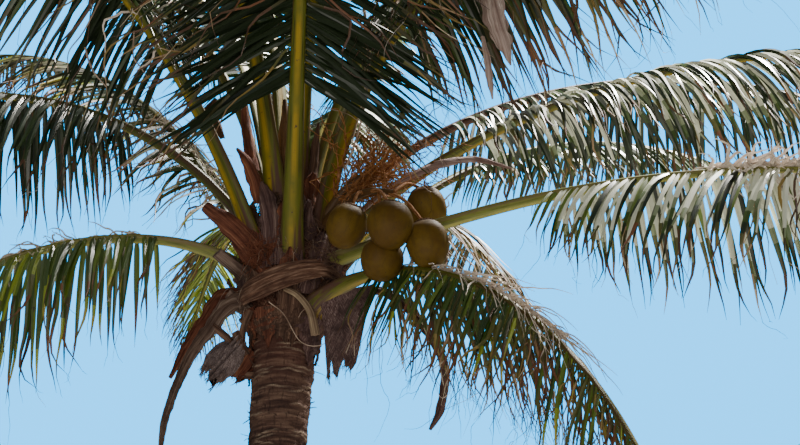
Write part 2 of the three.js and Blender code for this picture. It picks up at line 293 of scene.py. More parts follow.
def run_length(points, axis):
    """Distance covered along an axis of a grid of points, from its start."""
    steps = np.linalg.norm(np.diff(points, axis=axis), axis=-1)
    zero = np.zeros_like(np.take(steps, [0], axis=axis))
    return np.concatenate([zero, steps.cumsum(axis)], axis=axis)


def swept(lines, half_width, half_height, columns, side=(0.0, 1.0, 0.0), bump=1.0):
    """Tubes round centre lines (count, points, 3): an oval ring at each point, times bump.

    The oval's width lies across the line and the direction side. Returns the points and their grain.
    """
    ahead = unit(np.gradient(lines, axis=1))
    across = unit(np.cross(np.broadcast_to(side, lines.shape), ahead))
    up = np.cross(ahead, across)
    turn = full_turn(columns)
    x = np.broadcast_to(half_width, lines.shape[:2])[..., None] * np.cos(turn) * bump
    y = np.broadcast_to(half_height, lines.shape[:2])[..., None] * np.sin(turn) * bump
    tubes = lines[:, :, None] + x[..., None] * across[:, :, None] + y[..., None] * up[:, :, None]
    run = np.broadcast_to(run_length(lines, 1)[..., None], x.shape)
    return tubes, np.stack([x, y, run], -1)


def sheets(middle, thick):
    """Flat tubes round middle surfaces (count, rows, columns, 3): the surface moved to both sides.

    The thickness falls to a tenth at the sheet's two long edges. Returns the points and their grain.
    """
    normal = unit(np.cross(np.gradient(middle, axis=1), np.gradient(middle, axis=2)))
    s = np.linspace(-1, 1, middle.shape[2])
    half = thick * 0.5 * (1 - 0.9 * s**4)[:, None]
    front = middle + normal * half
    back = (middle - normal * half)[:, :, ::-1]
    across = run_length(middle, 2) - run_length(middle, 2).mean(2, keepdims=True)
    flat = np.stack([across, 0 * across, run_length(middle, 1)], -1)
    return np.concatenate([front, back], axis=2), np.concatenate([flat, flat[:, :, ::-1]], axis=2)


print("a curve from 0 to 1 in five points:", through([(0, 0, 0), (1, 0, 0)], 5)[:, 0])

# %% Unevenness and fibres
RIPPLE_WAVES = 6


def ripple(points, size, seed):
    """A smooth uneven value between about -1 and 1: a mean of sine waves in seeded directions.

    The waves' lengths are size and down to half of it. points has shape (..., 3).
    """
    draw = seeded(seed)
    ways = unit(draw.normal(size=(RIPPLE_WAVES, 3)))
    ways = ways * draw.uniform(1, 2, (RIPPLE_WAVES, 1)) * 2 * np.pi / size
    phases = draw.uniform(0, 2 * np.pi, RIPPLE_WAVES)
    return np.sin(points @ ways.T + phases).mean(-1) * np.sqrt(2)


def wander(starts, ways, length, curl, sag, seed, steps=10):
    """Centre lines of fibres (count, steps + 1, 3), which go their way with a bend added at each step.

    A direction is the way, plus a sum of random pushes of size curl, minus sag times the share passed.
    """
    draw = seeded(seed)
    pushes = draw.normal(0, curl, (len(starts), steps, 3)).cumsum(1)
    passed = np.arange(1, steps + 1)[:, None] / steps
    way = unit(ways[:, None] + pushes - sag * passed * UPWARDS)
    moved = way * np.broadcast_to(length, len(starts))[:, None, None] / steps
    return np.concatenate([starts[:, None], starts[:, None] + moved.cumsum(1)], axis=1)


def strands(name, slot, lines, radius, finish, columns=4, tip=0.35):
    """One joined piece of thin round fibres, which narrow to the share tip of their radius."""
    taper = 1 - (1 - tip) * shares(lines.shape[1]) ** 2
    size = np.broadcast_to(radius, len(lines))[:, None] * taper
    grained_piece(name, slot, swept(lines, size, size, columns, side=(0.35, 0.85, 0.4)), finish, 70.0)


print("a ripple at one point:", ripple(np.zeros(3), 1.0, seed=1).round(2))

# %% [markdown]
# ## Finishes
# There are two kinds. Bark, fibre, stalks and nuts are few and large, so they get patterns built from
# nodes: streaks along the fibres, blotches and specks. The thousands of leaflets get plain colours,
# because a pattern on so many small pieces could not be seen or kept in place. Their variety comes from
# dealing out eighteen colours, leaflet by leaflet and from root to tip.
# The streaks and blotches are wanted by many finishes, so they are node groups with named sockets.

# %% Nodes


def put(tree, kind, **settings):
    """Add a shader node of a kind, with its settings."""
    made = tree.nodes.new(kind)
    for key, value in settings.items():
        setattr(made, key, value)
    return made


def feed(tree, socket, value):
    """Link a socket to another, or set it to a number or a colour."""
    if isinstance(value, bpy.types.NodeSocket):
        tree.links.new(value, socket)
    elif isinstance(value, tuple):
        socket.default_value = (*value, 1.0)
    else:
        socket.default_value = value


def add(tree, kind, fed, output, **settings):
    """Add a shader node, feed its inputs by name or number, and give one of its outputs."""
    made = put(tree, kind, **settings)
    for key, value in fed.items():
        feed(tree, made.inputs[key], value)
    return made.outputs[output]


print("kinds of shader node:", sum(kind.startswith("ShaderNode") for kind in dir(bpy.types)))

# %% Node groups
NOISE_DETAIL = 4.0
NOISE_ROUGHNESS = 0.6
FINE_STREAK = 3.7  # how much finer the second streaks are
SPECK = 14.0  # how much finer the specks are than the blotches


def noise_group(name, numbers, build):
    """A node group that takes a vector and some numbers and gives named values from noise.

    build(group, given) makes the vector and scale that each noise reads from the given inputs.
    """
    group = bpy.data.node_groups.new(name, "ShaderNodeTree")
    group.interface.new_socket("Vector", in_out="INPUT", socket_type="NodeSocketVector")
    for label, value in numbers.items():
        group.interface.new_socket(label, in_out="INPUT", socket_type="NodeSocketFloat").default_value = value
    given = put(group, "NodeGroupInput").outputs
    result = put(group, "NodeGroupOutput")
    for label, (vector, scale) in build(group, given).items():
        group.interface.new_socket(label, in_out="OUTPUT", socket_type="NodeSocketFloat")
        fed = {"Vector": vector, "Scale": scale, "Detail": NOISE_DETAIL, "Roughness": NOISE_ROUGHNESS}
        group.links.new(add(group, "ShaderNodeTexNoise", fed, "Fac"), result.inputs[label])
    return group


def streak_vectors(group, given):
    """The vector times Across in X and Y and times Along in Z, read at two sizes."""
    fed = {"X": given["Across"], "Y": given["Across"], "Z": given["Along"]}
    scale = add(group, "ShaderNodeCombineXYZ", fed, "Vector")
    drawn = add(group, "ShaderNodeVectorMath", {0: given["Vector"], 1: scale}, "Vector", operation="MULTIPLY")
    return {"Streak": (drawn, 1.0), "Fine": (drawn, FINE_STREAK)}


def blotch_vectors(group, given):
    """The vector itself, read at the given scale and at a much finer one."""
    vector, scale = given["Vector"], given["Scale"]
    finer = add(group, "ShaderNodeMath", {0: scale, 1: SPECK}, "Value", operation="MULTIPLY")
    return {"Blotch": (vector, scale), "Speck": (vector, finer)}


STREAKS = noise_group("fibre_streaks", {"Across": 60.0, "Along": 3.0}, streak_vectors)
BLOTCHES = noise_group("blotches", {"Scale": 8.0}, blotch_vectors)
print("groups:", STREAKS.name, BLOTCHES.name)

# %% [markdown]
# A finish is a chain of small decisions: a ramp turns streaks into colours, a mask picks out a part of a
# pattern, a mix lays one colour over another where the mask says so, and a bump gives the streaks depth.
# A class with one short method for each kind of node keeps the finishes below readable.

# %% A material in the making


class Finish:
    """A material under construction: its tree, its Principled shader and short ways to add to it."""

    def __init__(self, name, roughness, specular=0.3):
        self.material = bpy.data.materials.new(name)
        self.material.use_nodes = True
        self.tree = self.material.node_tree
        self.shader = self.tree.nodes["Principled BSDF"]
        self.shader.inputs["Roughness"].default_value = roughness
        self.shader.inputs["Specular IOR Level"].default_value = specular

    def attribute(self, name, output="Vector"):
        """An attribute of the mesh: grain is a vector, and Fac reads one that is a number."""
        return add(self.tree, "ShaderNodeAttribute", {}, output, attribute_name=name)

    def place(self):
        """Where a point lies, in metres from the foot of the palm."""
        return add(self.tree, "ShaderNodeTexCoord", {}, "Object")

    def axis(self, vector, axis):
        """One of a vector's three numbers."""
        return add(self.tree, "ShaderNodeSeparateXYZ", {"Vector": vector}, axis)

    def group(self, group, vector, **values):
        """The outputs of the streaks or the blotches, read at a vector."""
        made = put(self.tree, "ShaderNodeGroup", node_tree=group)
        for label, value in {"Vector": vector, **values}.items():
            feed(self.tree, made.inputs[label], value)
        return made.outputs

    def ramp(self, fac, *stops):
        """Colours along a value, each stop a place from 0 to 1 and a colour."""
        made = put(self.tree, "ShaderNodeValToRGB")
        ends = made.color_ramp.elements
        while len(ends) < len(stops):
            ends.new(0.5)
        for end, (place, colour) in zip(ends, stops):
            end.position = place
            end.color = (*colour, 1.0)
        feed(self.tree, made.inputs["Fac"], fac)
        return made.outputs["Color"]

    def mask(self, fac, low, high):
        """0 where a value is at low, 1 where it is at high, and even in between."""
        fed = {"Value": fac, "From Min": low, "From Max": high}
        return add(self.tree, "ShaderNodeMapRange", fed, "Result")

    def mix(self, fac, first, second):
        """The first colour, going over to the second as fac goes from 0 to 1."""
        made = put(self.tree, "ShaderNodeMix", data_type="RGBA")
        values = {"Factor": fac, "A": first, "B": second}
        for socket in made.inputs:
            if socket.enabled and socket.name in values:
                feed(self.tree, socket, values[socket.name])
        return next(s for s in made.outputs if s.enabled)

    def combine(self, first, second, operation="MULTIPLY"):
        """Two values multiplied, or joined by another operation."""
        return add(self.tree, "ShaderNodeMath", {0: first, 1: second}, "Value", operation=operation)

    def relief(self, height, depth, strength):
        """Make a value show as relief of a depth in metres."""
        fed = {"Height": height, "Distance": depth, "Strength": strength}
        feed(self.tree, self.shader.inputs["Normal"], add(self.tree, "ShaderNodeBump", fed, "Normal"))

    def colour(self, source):
        """Set or link the base colour."""
        feed(self.tree, self.shader.inputs["Base Color"], source)


print("finish:", Finish.__doc__)

# %% [markdown]
# ## Trunk
# A coconut stem never thickens once it has grown. Each fallen frond leaves a scar that runs more than
# half way round, a narrow hollow band between two thin ledges, so the stem is covered in pale broken
# lines with dark rough bark between them. The trunk is a surface over height and angle: the solid's
# radius plus the ledges, plus fine unevenness. How much of a ledge there is at each point is also kept
# as the attribute scar, so that the finish can make the ledges pale.

# %% Trunk numbers and scars
HEART_HEIGHT = 6.0
HEART_LEAN = 0.28
LEAN_POWER = 1.2
TRUNK_TOP = 5.72
TRUNK_RADII = [  # height and radius
    (0.0, 0.290), (0.09, 0.252), (0.26, 0.206), (0.6, 0.170), (1.2, 0.151),
    (2.6, 0.138), (4.6, 0.129), (5.25, 0.128), (5.45, 0.132), (5.72, 0.146),
]
SCAR_STEP = 0.037  # mean height from one leaf scar to the next
SCAR_TURN = 2.4  # radians from one scar to the next, about two fifths of a turn
SCAR_HALF = 0.009  # half the height of a scar, from its middle to a ledge
SCAR_REACH = 0.06  # a ledge has died away at this height from its scar
LEDGE_WIDTH = 0.0042
LEDGE = 0.0055  # how far a ledge stands out
SKIN_DEPTH = 0.003  # how far the skin between the ledges lies inside the solid


def trunk_centre(z):
    """Centre of the leaning trunk at a height: it moves to +X by lean times (z / heart height)^1.2."""
    z = np.asarray(z, dtype=float)
    x = HEART_LEAN * (np.maximum(z, 0) / HEART_HEIGHT) ** LEAN_POWER
    return np.stack([x, np.zeros_like(z), z], -1)


def around(turn):
    """Level unit vectors at compass angles in radians."""
    turn = np.asarray(turn, dtype=float)
    return np.stack([np.cos(turn), np.sin(turn), np.zeros_like(turn)], -1)


def scar_field(z, turn):
    """How strongly a ledge stands out at heights (rows, 1) and angles (columns), from 0 to 1.

    Scar number i lies about the height i times the step. It bows upwards in its middle, wavers, fades
    to its two ends and is broken up by a slow wave. Its ledges are bell curves at both its sides.
    """
    draw = seeded(11)
    count = int(TRUNK_TOP / SCAR_STEP) + 1
    heights = (np.arange(count) + 0.5 + draw.uniform(-0.35, 0.35, count)) * SCAR_STEP
    middles = np.arange(count) * SCAR_TURN + draw.uniform(-0.4, 0.4, count)
    spans = draw.uniform(1.3, 2.4, count)
    ledges = np.zeros(np.broadcast(z, turn).shape)
    for height, middle, span in zip(heights, middles, spans):
        near = np.abs(z[:, 0] - height) < SCAR_REACH
        away = (turn - middle + np.pi) % (2 * np.pi) - np.pi
        waver = 0.0035 * np.sin(5 * away + middle) + 0.002 * np.sin(13 * away + 3 * middle)
        level = height + 0.014 * np.cos(away) + draw.uniform(-0.008, 0.008) * np.sin(away) + waver
        fade = np.clip((span - np.abs(away)) / 0.5, 0, 1)
        for side, strength in ((1, draw.uniform(0.6, 1.0)), (-1, draw.uniform(0.2, 0.8))):
            gap = (z[near] - level - side * SCAR_HALF) / LEDGE_WIDTH
            broken = 0.65 + 0.35 * np.sin(4 * away + middle * 7 * side)
            ledges[near] = np.maximum(ledges[near], np.exp(-(gap**2) / 2) * fade * strength * broken)
    return ledges


print("leaf scars:", int(TRUNK_TOP / SCAR_STEP) + 1)

# %% Trunk surface


def trunk_surface(rows, columns):
    """Points (1, rows, columns, 3) of the trunk, and how strongly a ledge shows at each."""
    z = np.linspace(0, TRUNK_TOP, rows)[:, None]
    turn = full_turn(columns)[None]
    radius = np.interp(z, *np.array(TRUNK_RADII).T)
    ledge = scar_field(z, turn)
    skin = trunk_centre(z) + around(turn) * radius[..., None]
    rough = ripple(skin * (1, 1, 2), 0.13, 3) * 0.004 + ripple(skin * (1, 1, 3), 0.04, 4) * 0.0022
    soft_ends = np.clip(np.minimum(z / 0.03, (TRUNK_TOP - z) / 0.03), 0, 1)
    out = (ledge * LEDGE + rough - SKIN_DEPTH) * soft_ends
    return (skin + around(turn) * out[..., None])[None], ledge[None]


trunk_points, trunk_scars = trunk_surface(rows=1000, columns=76)
print("trunk rings:", trunk_points.shape[1], "strongest ledge:", round(float(trunk_scars.max()), 2))

# %% [markdown]
# The bark of an old stem is dark grey-brown, cracked upright and streaked level, and the ledges have
# weathered pale. Up under the crown, where the stem is young, it is redder. Each of these is one mask
# over the colour before it, so that any of them can be changed without the others.

# %% Bark finish


def bark_finish():
    """Dark bark with level streaks, upright cracks and pale ledges, redder where the stem is young."""
    bark = Finish("bark", 0.95, 0.12)
    level = bark.group(STREAKS, bark.place(), Across=5.0, Along=60.0)
    cracks = bark.group(STREAKS, bark.place(), Across=70.0, Along=26.0)
    blotches = bark.group(BLOTCHES, bark.place(), Scale=6.0)
    dark, mid, light = (0.030, 0.018, 0.016), (0.08, 0.044, 0.034), (0.19, 0.12, 0.085)
    worn_brown, young_red = (0.12, 0.07, 0.05), (0.075, 0.028, 0.02)
    ledge_shade, ledge_pale = (0.17, 0.115, 0.08), (0.46, 0.36, 0.26)
    ground = bark.ramp(level["Streak"], (0.34, dark), (0.52, mid), (0.7, light))
    cracked = bark.mix(bark.mask(cracks["Streak"], 0.46, 0.3), ground, dark)
    worn = bark.mix(bark.mask(blotches["Blotch"], 0.5, 0.75), cracked, worn_brown)
    young = bark.combine(bark.mask(bark.axis(bark.place(), "Z"), 5.42, 5.68), 0.6)
    reddened = bark.mix(young, worn, young_red)
    pale = bark.ramp(cracks["Fine"], (0.3, ledge_shade), (0.7, ledge_pale))
    scar = bark.mask(bark.attribute("scar", "Fac"), 0.18, 0.75)
    shown = bark.combine(scar, bark.mask(level["Fine"], 0.36, 0.56))
    bark.colour(bark.mix(shown, reddened, pale))
    bark.relief(bark.combine(level["Streak"], cracks["Streak"], "ADD"), 0.007, 0.8)
    return bark.material


BARK = bark_finish()
grained_piece("trunk_bark", "bark", (trunk_points, None), BARK, nodes=["trunk"], scar=trunk_scars)

# %% [markdown]
# Stumps of old fibres are left on the ledges. They break the stem's outline, so they are worth a piece
# of their own: a few hundred short tapering tubes, joined into one mesh.

# %% Stumps on the trunk
TRUNK_STUMPS = 420


def plain_fibre(name, dark, pale, roughness=0.9):
    """A fibre's finish: streaks along it between two colours."""
    fibre = Finish(name, roughness, 0.15)
    lines = fibre.group(STREAKS, fibre.attribute("grain"), Across=200.0, Along=12.0)
    fibre.colour(fibre.ramp(lines["Streak"], (0.38, dark), (0.62, pale)))
    fibre.relief(lines["Fine"], 0.001, 0.4)
    return fibre.material


def trunk_stumps(count, seed):
    """Starts on the trunk's skin, directions and lengths of its stumps, most near the top."""
    draw = seeded(seed)
    z = TRUNK_TOP * draw.uniform(0.02, 0.995, count) ** 0.55
    turn = draw.uniform(0, 2 * np.pi, count)
    radius = np.interp(z, *np.array(TRUNK_RADII).T) - 0.008
    starts = trunk_centre(z) + around(turn) * radius[:, None]
    ways = around(turn + draw.normal(0, 0.5, count)) + draw.uniform(-0.5, 1.0, (count, 1)) * UPWARDS
    return starts, unit(ways), draw.gamma(3.0, 0.0085, count) + 0.012


DARK_FIBRE = plain_fibre("dark_fibre", (0.022, 0.013, 0.011), (0.09, 0.05, 0.035))
stump_size = seeded(32).uniform(0.0012, 0.0042, TRUNK_STUMPS)
stump_lines = wander(*trunk_stumps(TRUNK_STUMPS, seed=31), curl=0.25, sag=0.2, seed=33, steps=4)
strands("trunk_stumps", "bark", stump_lines, stump_size, DARK_FIBRE)

# %% [markdown]
# ## Heart
# Where the fronds leave the stem, their broad bases wrap round it in layers of coarse brown cloth,
# woven by the plant itself. The heart's core is a surface with large folds. Over it lie sheaths, which
# are thin sheets: each clasps the heart at its foot, narrows and stands away at its tip.

# %% Heart shape
HEART_RADII = [  # height above the heart's middle, and radius
    (-0.28, 0.150), (-0.225, 0.176), (-0.15, 0.200), (-0.06, 0.220), (0.04, 0.226),
    (0.15, 0.212), (0.26, 0.182), (0.37, 0.140), (0.46, 0.096), (0.52, 0.048),
]


def heart_radius(up):
    """Radius of the heart at a height above its middle."""
    return np.interp(up, *np.array(HEART_RADII).T)


def on_heart(turn, up, off=0.0):
    """Points at compass angles and heights above the heart's middle, a distance off its skin."""
    turn, up, off = np.broadcast_arrays(turn, up, off)
    return trunk_centre(HEART_HEIGHT + up) + around(turn) * (heart_radius(up) + off)[..., None]


def heart_surface(rows, columns):
    """Points (1, rows, columns, 3) of the heart's core: the solid's radius with folds and fibres."""
    up = np.linspace(HEART_RADII[0][0], HEART_RADII[-1][0], rows)[:, None]
    turn = full_turn(columns)[None]
    skin = on_heart(turn, up)
    fold = ripple(skin * (1, 1, 0.4), 0.12, 21) * 0.014 + ripple(skin * (1, 1, 0.3), 0.035, 22) * 0.006
    soft_ends = np.clip((up - HEART_RADII[0][0]) / 0.03, 0, 1)
    return on_heart(turn, up, np.maximum(fold * soft_ends - 0.012, 0.01 - heart_radius(up)))[None]


heart_points = heart_surface(rows=150, columns=140)
print("heart from", heart_points[..., 2].min().round(2), "to", heart_points[..., 2].max().round(2))

# %% [markdown]
# The cloth round the heart is two layers of fibres that cross at a slant, so its finish takes the larger
# of two turned sets of streaks. A sheath is one layer, so its streaks run along the grain. Sheaths are
# grey-mauve, rust-red or umber, which is one finish with three sets of colours.

# %% Fibre finishes


def woven_finish(name, dark, middle, pale, across=150.0, along=14.0):
    """Coarse plant cloth: two sets of streaks that cross at a slant, with dark blotches."""
    cloth = Finish(name, 0.95, 0.12)
    slants = []
    for slant in (0.5, -0.5):
        turned = put(cloth.tree, "ShaderNodeMapping")
        turned.inputs["Rotation"].default_value = (0.35 * slant, slant, 0.0)
        feed(cloth.tree, turned.inputs["Vector"], cloth.place())
        slants.append(cloth.group(STREAKS, turned.outputs["Vector"], Across=across, Along=along)["Streak"])
    weave = cloth.combine(*slants, "MAXIMUM")
    threads = cloth.ramp(weave, (0.42, dark), (0.56, middle), (0.7, pale))
    blotch = cloth.group(BLOTCHES, cloth.place(), Scale=9.0)["Blotch"]
    cloth.colour(cloth.mix(cloth.mask(blotch, 0.45, 0.65), threads, dark))
    cloth.relief(weave, 0.008, 0.9)
    return cloth.material


def sheath_finish(name, dark, middle, pale, across=90.0, along=3.0):
    """Dry sheath or bract: streaks along its grain, with dark blotches and a few pale fibres."""
    sheath = Finish(name, 0.85, 0.2)
    lines = sheath.group(STREAKS, sheath.attribute("grain"), Across=across, Along=along)
    base = sheath.ramp(lines["Streak"], (0.35, dark), (0.52, middle), (0.7, pale))
    blotch = sheath.group(BLOTCHES, sheath.place(), Scale=6.0)["Blotch"]
    fibres = sheath.mix(sheath.mask(lines["Fine"], 0.62, 0.7), base, pale)
    sheath.colour(sheath.mix(sheath.mask(blotch, 0.5, 0.72), fibres, dark))
    sheath.relief(sheath.combine(lines["Streak"], lines["Fine"], "ADD"), 0.004, 0.7)
    return sheath.material


FIBRE = woven_finish("woven_fibre", (0.028, 0.012, 0.009), (0.11, 0.048, 0.032), (0.26, 0.14, 0.09))
MAUVE = sheath_finish("mauve_sheath", (0.034, 0.018, 0.018), (0.105, 0.058, 0.052), (0.24, 0.16, 0.135))
RUST = sheath_finish("rust_sheath", (0.045, 0.014, 0.009), (0.15, 0.052, 0.03), (0.30, 0.13, 0.07))
UMBER = sheath_finish("umber_sheath", (0.026, 0.014, 0.010), (0.085, 0.045, 0.03), (0.2, 0.12, 0.08))
SHEATHS = [MAUVE, RUST, UMBER]

grained_piece("heart_fibre", "fibre", (heart_points, None), FIBRE, nodes=["heart"])

# %% [markdown]
# The sheaths overlap like shingles, all round the heart. They are too many to place by hand, so a seeded
# rule sets them out: each stands a golden angle further round than the one below it, as on the plant.

# %% Sheaths round the heart
GOLDEN_ANGLE = 2.399
HEART_SHEATHS = 46


def sheath_middles(turn, foot, length, half_width, flare, seed, rows=16, columns=9):
    """Middle surfaces (count, rows, columns, 3) of sheaths that clasp the heart.

    At share t of its length a sheath has climbed length t, stands 6 mm and flare t^3 off the heart, and
    is half_width (1 - 0.9 t^1.8) wide to each side, with ragged edges. s goes from edge to edge.
    """
    turn, foot, length, half_width, flare = (
        np.asarray(v, dtype=float)[:, None, None] for v in (turn, foot, length, half_width, flare)
    )
    t = shares(rows)[None, :, None]
    s = np.linspace(-1, 1, columns)[None, None, :]
    key = np.stack(np.broadcast_arrays(t * 0.5, s * 0.02, turn), -1)
    ragged = 1 + 0.22 * ripple(key, 0.12, seed) * np.abs(s)
    side = s * half_width * (1 - 0.9 * t**1.8) * ragged
    up = foot + length * t * (1 - 0.12 * s**2)
    off = 0.006 + flare * t**3 + 0.006 * ripple(key * (1, 4, 1), 0.05, seed + 1)
    return on_heart(turn + side / np.maximum(heart_radius(up), 0.1), up, off)


def ring_of_sheaths(count, low, high, seed):
    """Numbers of sheaths spread in a spiral between two heights on the heart."""
    draw = seeded(seed)
    turn = np.arange(count) * GOLDEN_ANGLE + draw.uniform(-0.25, 0.25, count)
    foot = np.linspace(low, high, count) + draw.uniform(-0.03, 0.03, count)
    length = draw.uniform(0.13, 0.27, count)
    half_width = draw.uniform(0.045, 0.10, count)
    flare = draw.uniform(0.0, 0.07, count)
    return turn, foot, length, half_width, flare


def sheath_piece(name, middles, thick, kinds):
    """Make and keep one piece of many sheaths, each in the finish that its number picks in SHEATHS."""
    points, grain = sheets(middles, thick)
    bands = np.repeat(np.array(kinds)[:, None], middles.shape[1] - 1, axis=1)
    keep(make_tubes(name, points, SHEATHS, bands=bands, grain=grain, crease=50.0), "fibre")


middles = sheath_middles(*ring_of_sheaths(HEART_SHEATHS, low=-0.26, high=0.24, seed=5), seed=6)
kinds = seeded(7).choice(len(SHEATHS), HEART_SHEATHS, p=(0.38, 0.27, 0.35))
sheath_piece("heart_sheaths", middles, 0.005, kinds)

# %% [markdown]
# The lowest sheaths have let go at the foot. They hang by their upper ends over the trunk's neck, so
# that no line shows where the heart ends. They are made like the others, but start at the heart's lower
# end and narrow downwards.

# %% Cloth on the neck
NECK_SHEATHS = 26
NECK_FLARE = -0.014  # their tips lie closer to the trunk than their upper ends


def neck_cloth(count, seed):
    """Numbers of sheaths that start at the heart's lower end and narrow downwards along the neck."""
    draw = seeded(seed)
    turn = np.arange(count) * GOLDEN_ANGLE + draw.uniform(-0.3, 0.3, count)
    foot = draw.uniform(-0.27, -0.17, count)
    length = -draw.uniform(0.08, 0.27, count)
    half_width = draw.uniform(0.04, 0.10, count)
    return turn, foot, length, half_width, np.full(count, NECK_FLARE)


middles = sheath_middles(*neck_cloth(NECK_SHEATHS, seed=8), seed=9)
kinds = seeded(10).choice(len(SHEATHS), NECK_SHEATHS, p=(0.2, 0.5, 0.3))
sheath_piece("neck_cloth", middles, 0.004, kinds)

# %% [markdown]
# The sheaths that can be told apart in the photograph are placed one by one. Each is a ribbon through a
# few points, with its half width at each of them and a direction that its face looks in.

# %% Single sheaths and flaps


def ribbon(line, half_width, face, curl, seed, rows=26, columns=9, ragged=0.15):
    """Middle surface (1, rows, columns, 3) of a ribbon: across it a point lies s half widths off the line.

    The edges bend back from the face by curl half widths times s^2, and waver by the share ragged.
    """
    centre = through(line, rows)
    half = spread(half_width, rows)[:, None]
    ahead = unit(np.gradient(centre, axis=0))
    broad = unit(np.cross(ahead, face))
    out = np.cross(broad, ahead)
    s = np.linspace(-1, 1, columns)
    t = shares(rows)[:, None]
    key = np.stack(np.broadcast_arrays(t, s * 0.1, 0 * t), -1)
    side = s * half * (1 + ragged * ripple(key, 0.2, seed) * np.abs(s))
    back = -curl * half * s**2 + half * 0.1 * ripple(key * (1, 4, 1), 0.15, seed + 1)
    return (centre[:, None] + side[..., None] * broad[:, None] + back[..., None] * out[:, None])[None]


FRONT = (0.0, -1.0, -0.25)
SINGLE_SHEATHS = {  # line, half widths, facing, curl, finish
    "left_flap": (
        [(0.20, -0.20, 5.96), (0.12, -0.19, 6.07), (0.02, -0.16, 6.19), (-0.10, -0.12, 6.30)],
        [0.06, 0.066, 0.05, 0.022], FRONT, 0.35, RUST,
    ),
    "left_flap_back": (
        [(0.16, -0.16, 6.08), (0.08, -0.13, 6.17), (-0.02, -0.10, 6.23)],
        [0.06, 0.05, 0.015], FRONT, 0.3, MAUVE,
    ),
    "mauve_left": (
        [(0.21, -0.22, 6.08), (0.20, -0.215, 6.20), (0.18, -0.19, 6.31), (0.15, -0.15, 6.40)],
        [0.045, 0.05, 0.038, 0.012], FRONT, 0.4, MAUVE,
    ),
    "mauve_right": (
        [(0.40, -0.20, 5.95), (0.41, -0.205, 6.03), (0.42, -0.19, 6.10), (0.43, -0.17, 6.15)],
        [0.055, 0.06, 0.045, 0.015], FRONT, 0.4, MAUVE,
    ),
    "purple_right": (
        [(0.47, -0.17, 5.92), (0.49, -0.16, 6.02), (0.50, -0.14, 6.12)],
        [0.045, 0.05, 0.03], (0.5, -0.9, -0.2), 0.5, MAUVE,
    ),
    "curled_left": (
        [(0.16, -0.15, 6.30), (0.135, -0.155, 6.42), (0.09, -0.15, 6.52), (0.04, -0.12, 6.58)],
        [0.03, 0.04, 0.03, 0.006], (0.6, -0.9, 0.2), 0.8, RUST,
    ),
    "curled_left_high": (
        [(0.11, -0.10, 6.48), (0.085, -0.10, 6.62), (0.07, -0.09, 6.76), (0.06, -0.08, 6.88)],
        [0.03, 0.026, 0.02, 0.008], FRONT, 0.7, RUST,
    ),
    "dark_middle": (
        [(0.235, -0.12, 6.36), (0.245, -0.10, 6.52), (0.25, -0.09, 6.68), (0.245, -0.08, 6.84)],
        [0.03, 0.036, 0.03, 0.008], FRONT, 0.6, UMBER,
    ),
    "dark_middle_right": (
        [(0.37, -0.12, 6.30), (0.375, -0.10, 6.46), (0.385, -0.09, 6.60), (0.40, -0.08, 6.72)],
        [0.022, 0.024, 0.02, 0.006], FRONT, 0.6, UMBER,
    ),
    "dry_knot": (
        [(-0.02, -0.14, 6.62), (-0.05, -0.15, 6.70), (-0.085, -0.14, 6.76), (-0.06, -0.13, 6.82)],
        [0.012, 0.028, 0.024, 0.008], (0.5, -0.8, 0.1), 0.9, UMBER,
    ),
}

middles = [ribbon(*row[:4], seed=70 + n) for n, row in enumerate(SINGLE_SHEATHS.values())]
kinds = [SHEATHS.index(row[4]) for row in SINGLE_SHEATHS.values()]
sheath_piece("single_sheaths", np.concatenate(middles), 0.004, kinds)
print("single sheaths:", ", ".join(SINGLE_SHEATHS))

# %% [markdown]
# Under the front frond a twisted band of old cloth girds the heart. It is a thick tube along the front
# of the heart, and its section has ridges that wind round it as the cloth was twisted.

# %% Twisted band
PALE_CLOTH = sheath_finish(
    "pale_cloth", (0.045, 0.02, 0.013), (0.13, 0.066, 0.042), (0.32, 0.2, 0.135), along=8.0
)
BAND_LINE = [
    (0.075, -0.10, 5.86), (0.10, -0.19, 5.855), (0.165, -0.245, 5.87), (0.25, -0.275, 5.90),
    (0.35, -0.265, 5.935), (0.44, -0.225, 5.955), (0.50, -0.14, 5.95),
]
BAND_HALF_HEIGHTS = [0.028, 0.044, 0.054, 0.05, 0.042, 0.034, 0.02]


def band_surface(rows=90, columns=40):
    """A tube along the band's line with nine large ridges and seventeen fine ones that wind round it."""
    line = through(BAND_LINE, rows)[None]
    t = shares(rows)
    turn = full_turn(columns)
    height = spread(BAND_HALF_HEIGHTS, rows)
    ridge = 0.11 * np.sin(9 * turn + 3 * t[:, None]) + 0.05 * np.sin(17 * turn - 9 * t[:, None])
    key = np.stack(np.broadcast_arrays(t[:, None], np.cos(turn), np.sin(turn)), -1)
    bump = 1 + ridge + 0.12 * ripple(key, 0.6, 41)
    return swept(line, height * 0.42, height, columns, side=UPWARDS, bump=bump[None])


grained_piece("cloth_band", "fibre", band_surface(), PALE_CLOTH)

# %% [markdown]
# Loose fibres do most to make the heart look like a palm's. Threads lie slantwise over its skin, curly
# mats fill two gaps in front, a red one at the left and a brown one at the right, and thin pale fibres
# hang free. Each is a seeded walk in small steps, which costs far less than a simulated hair.

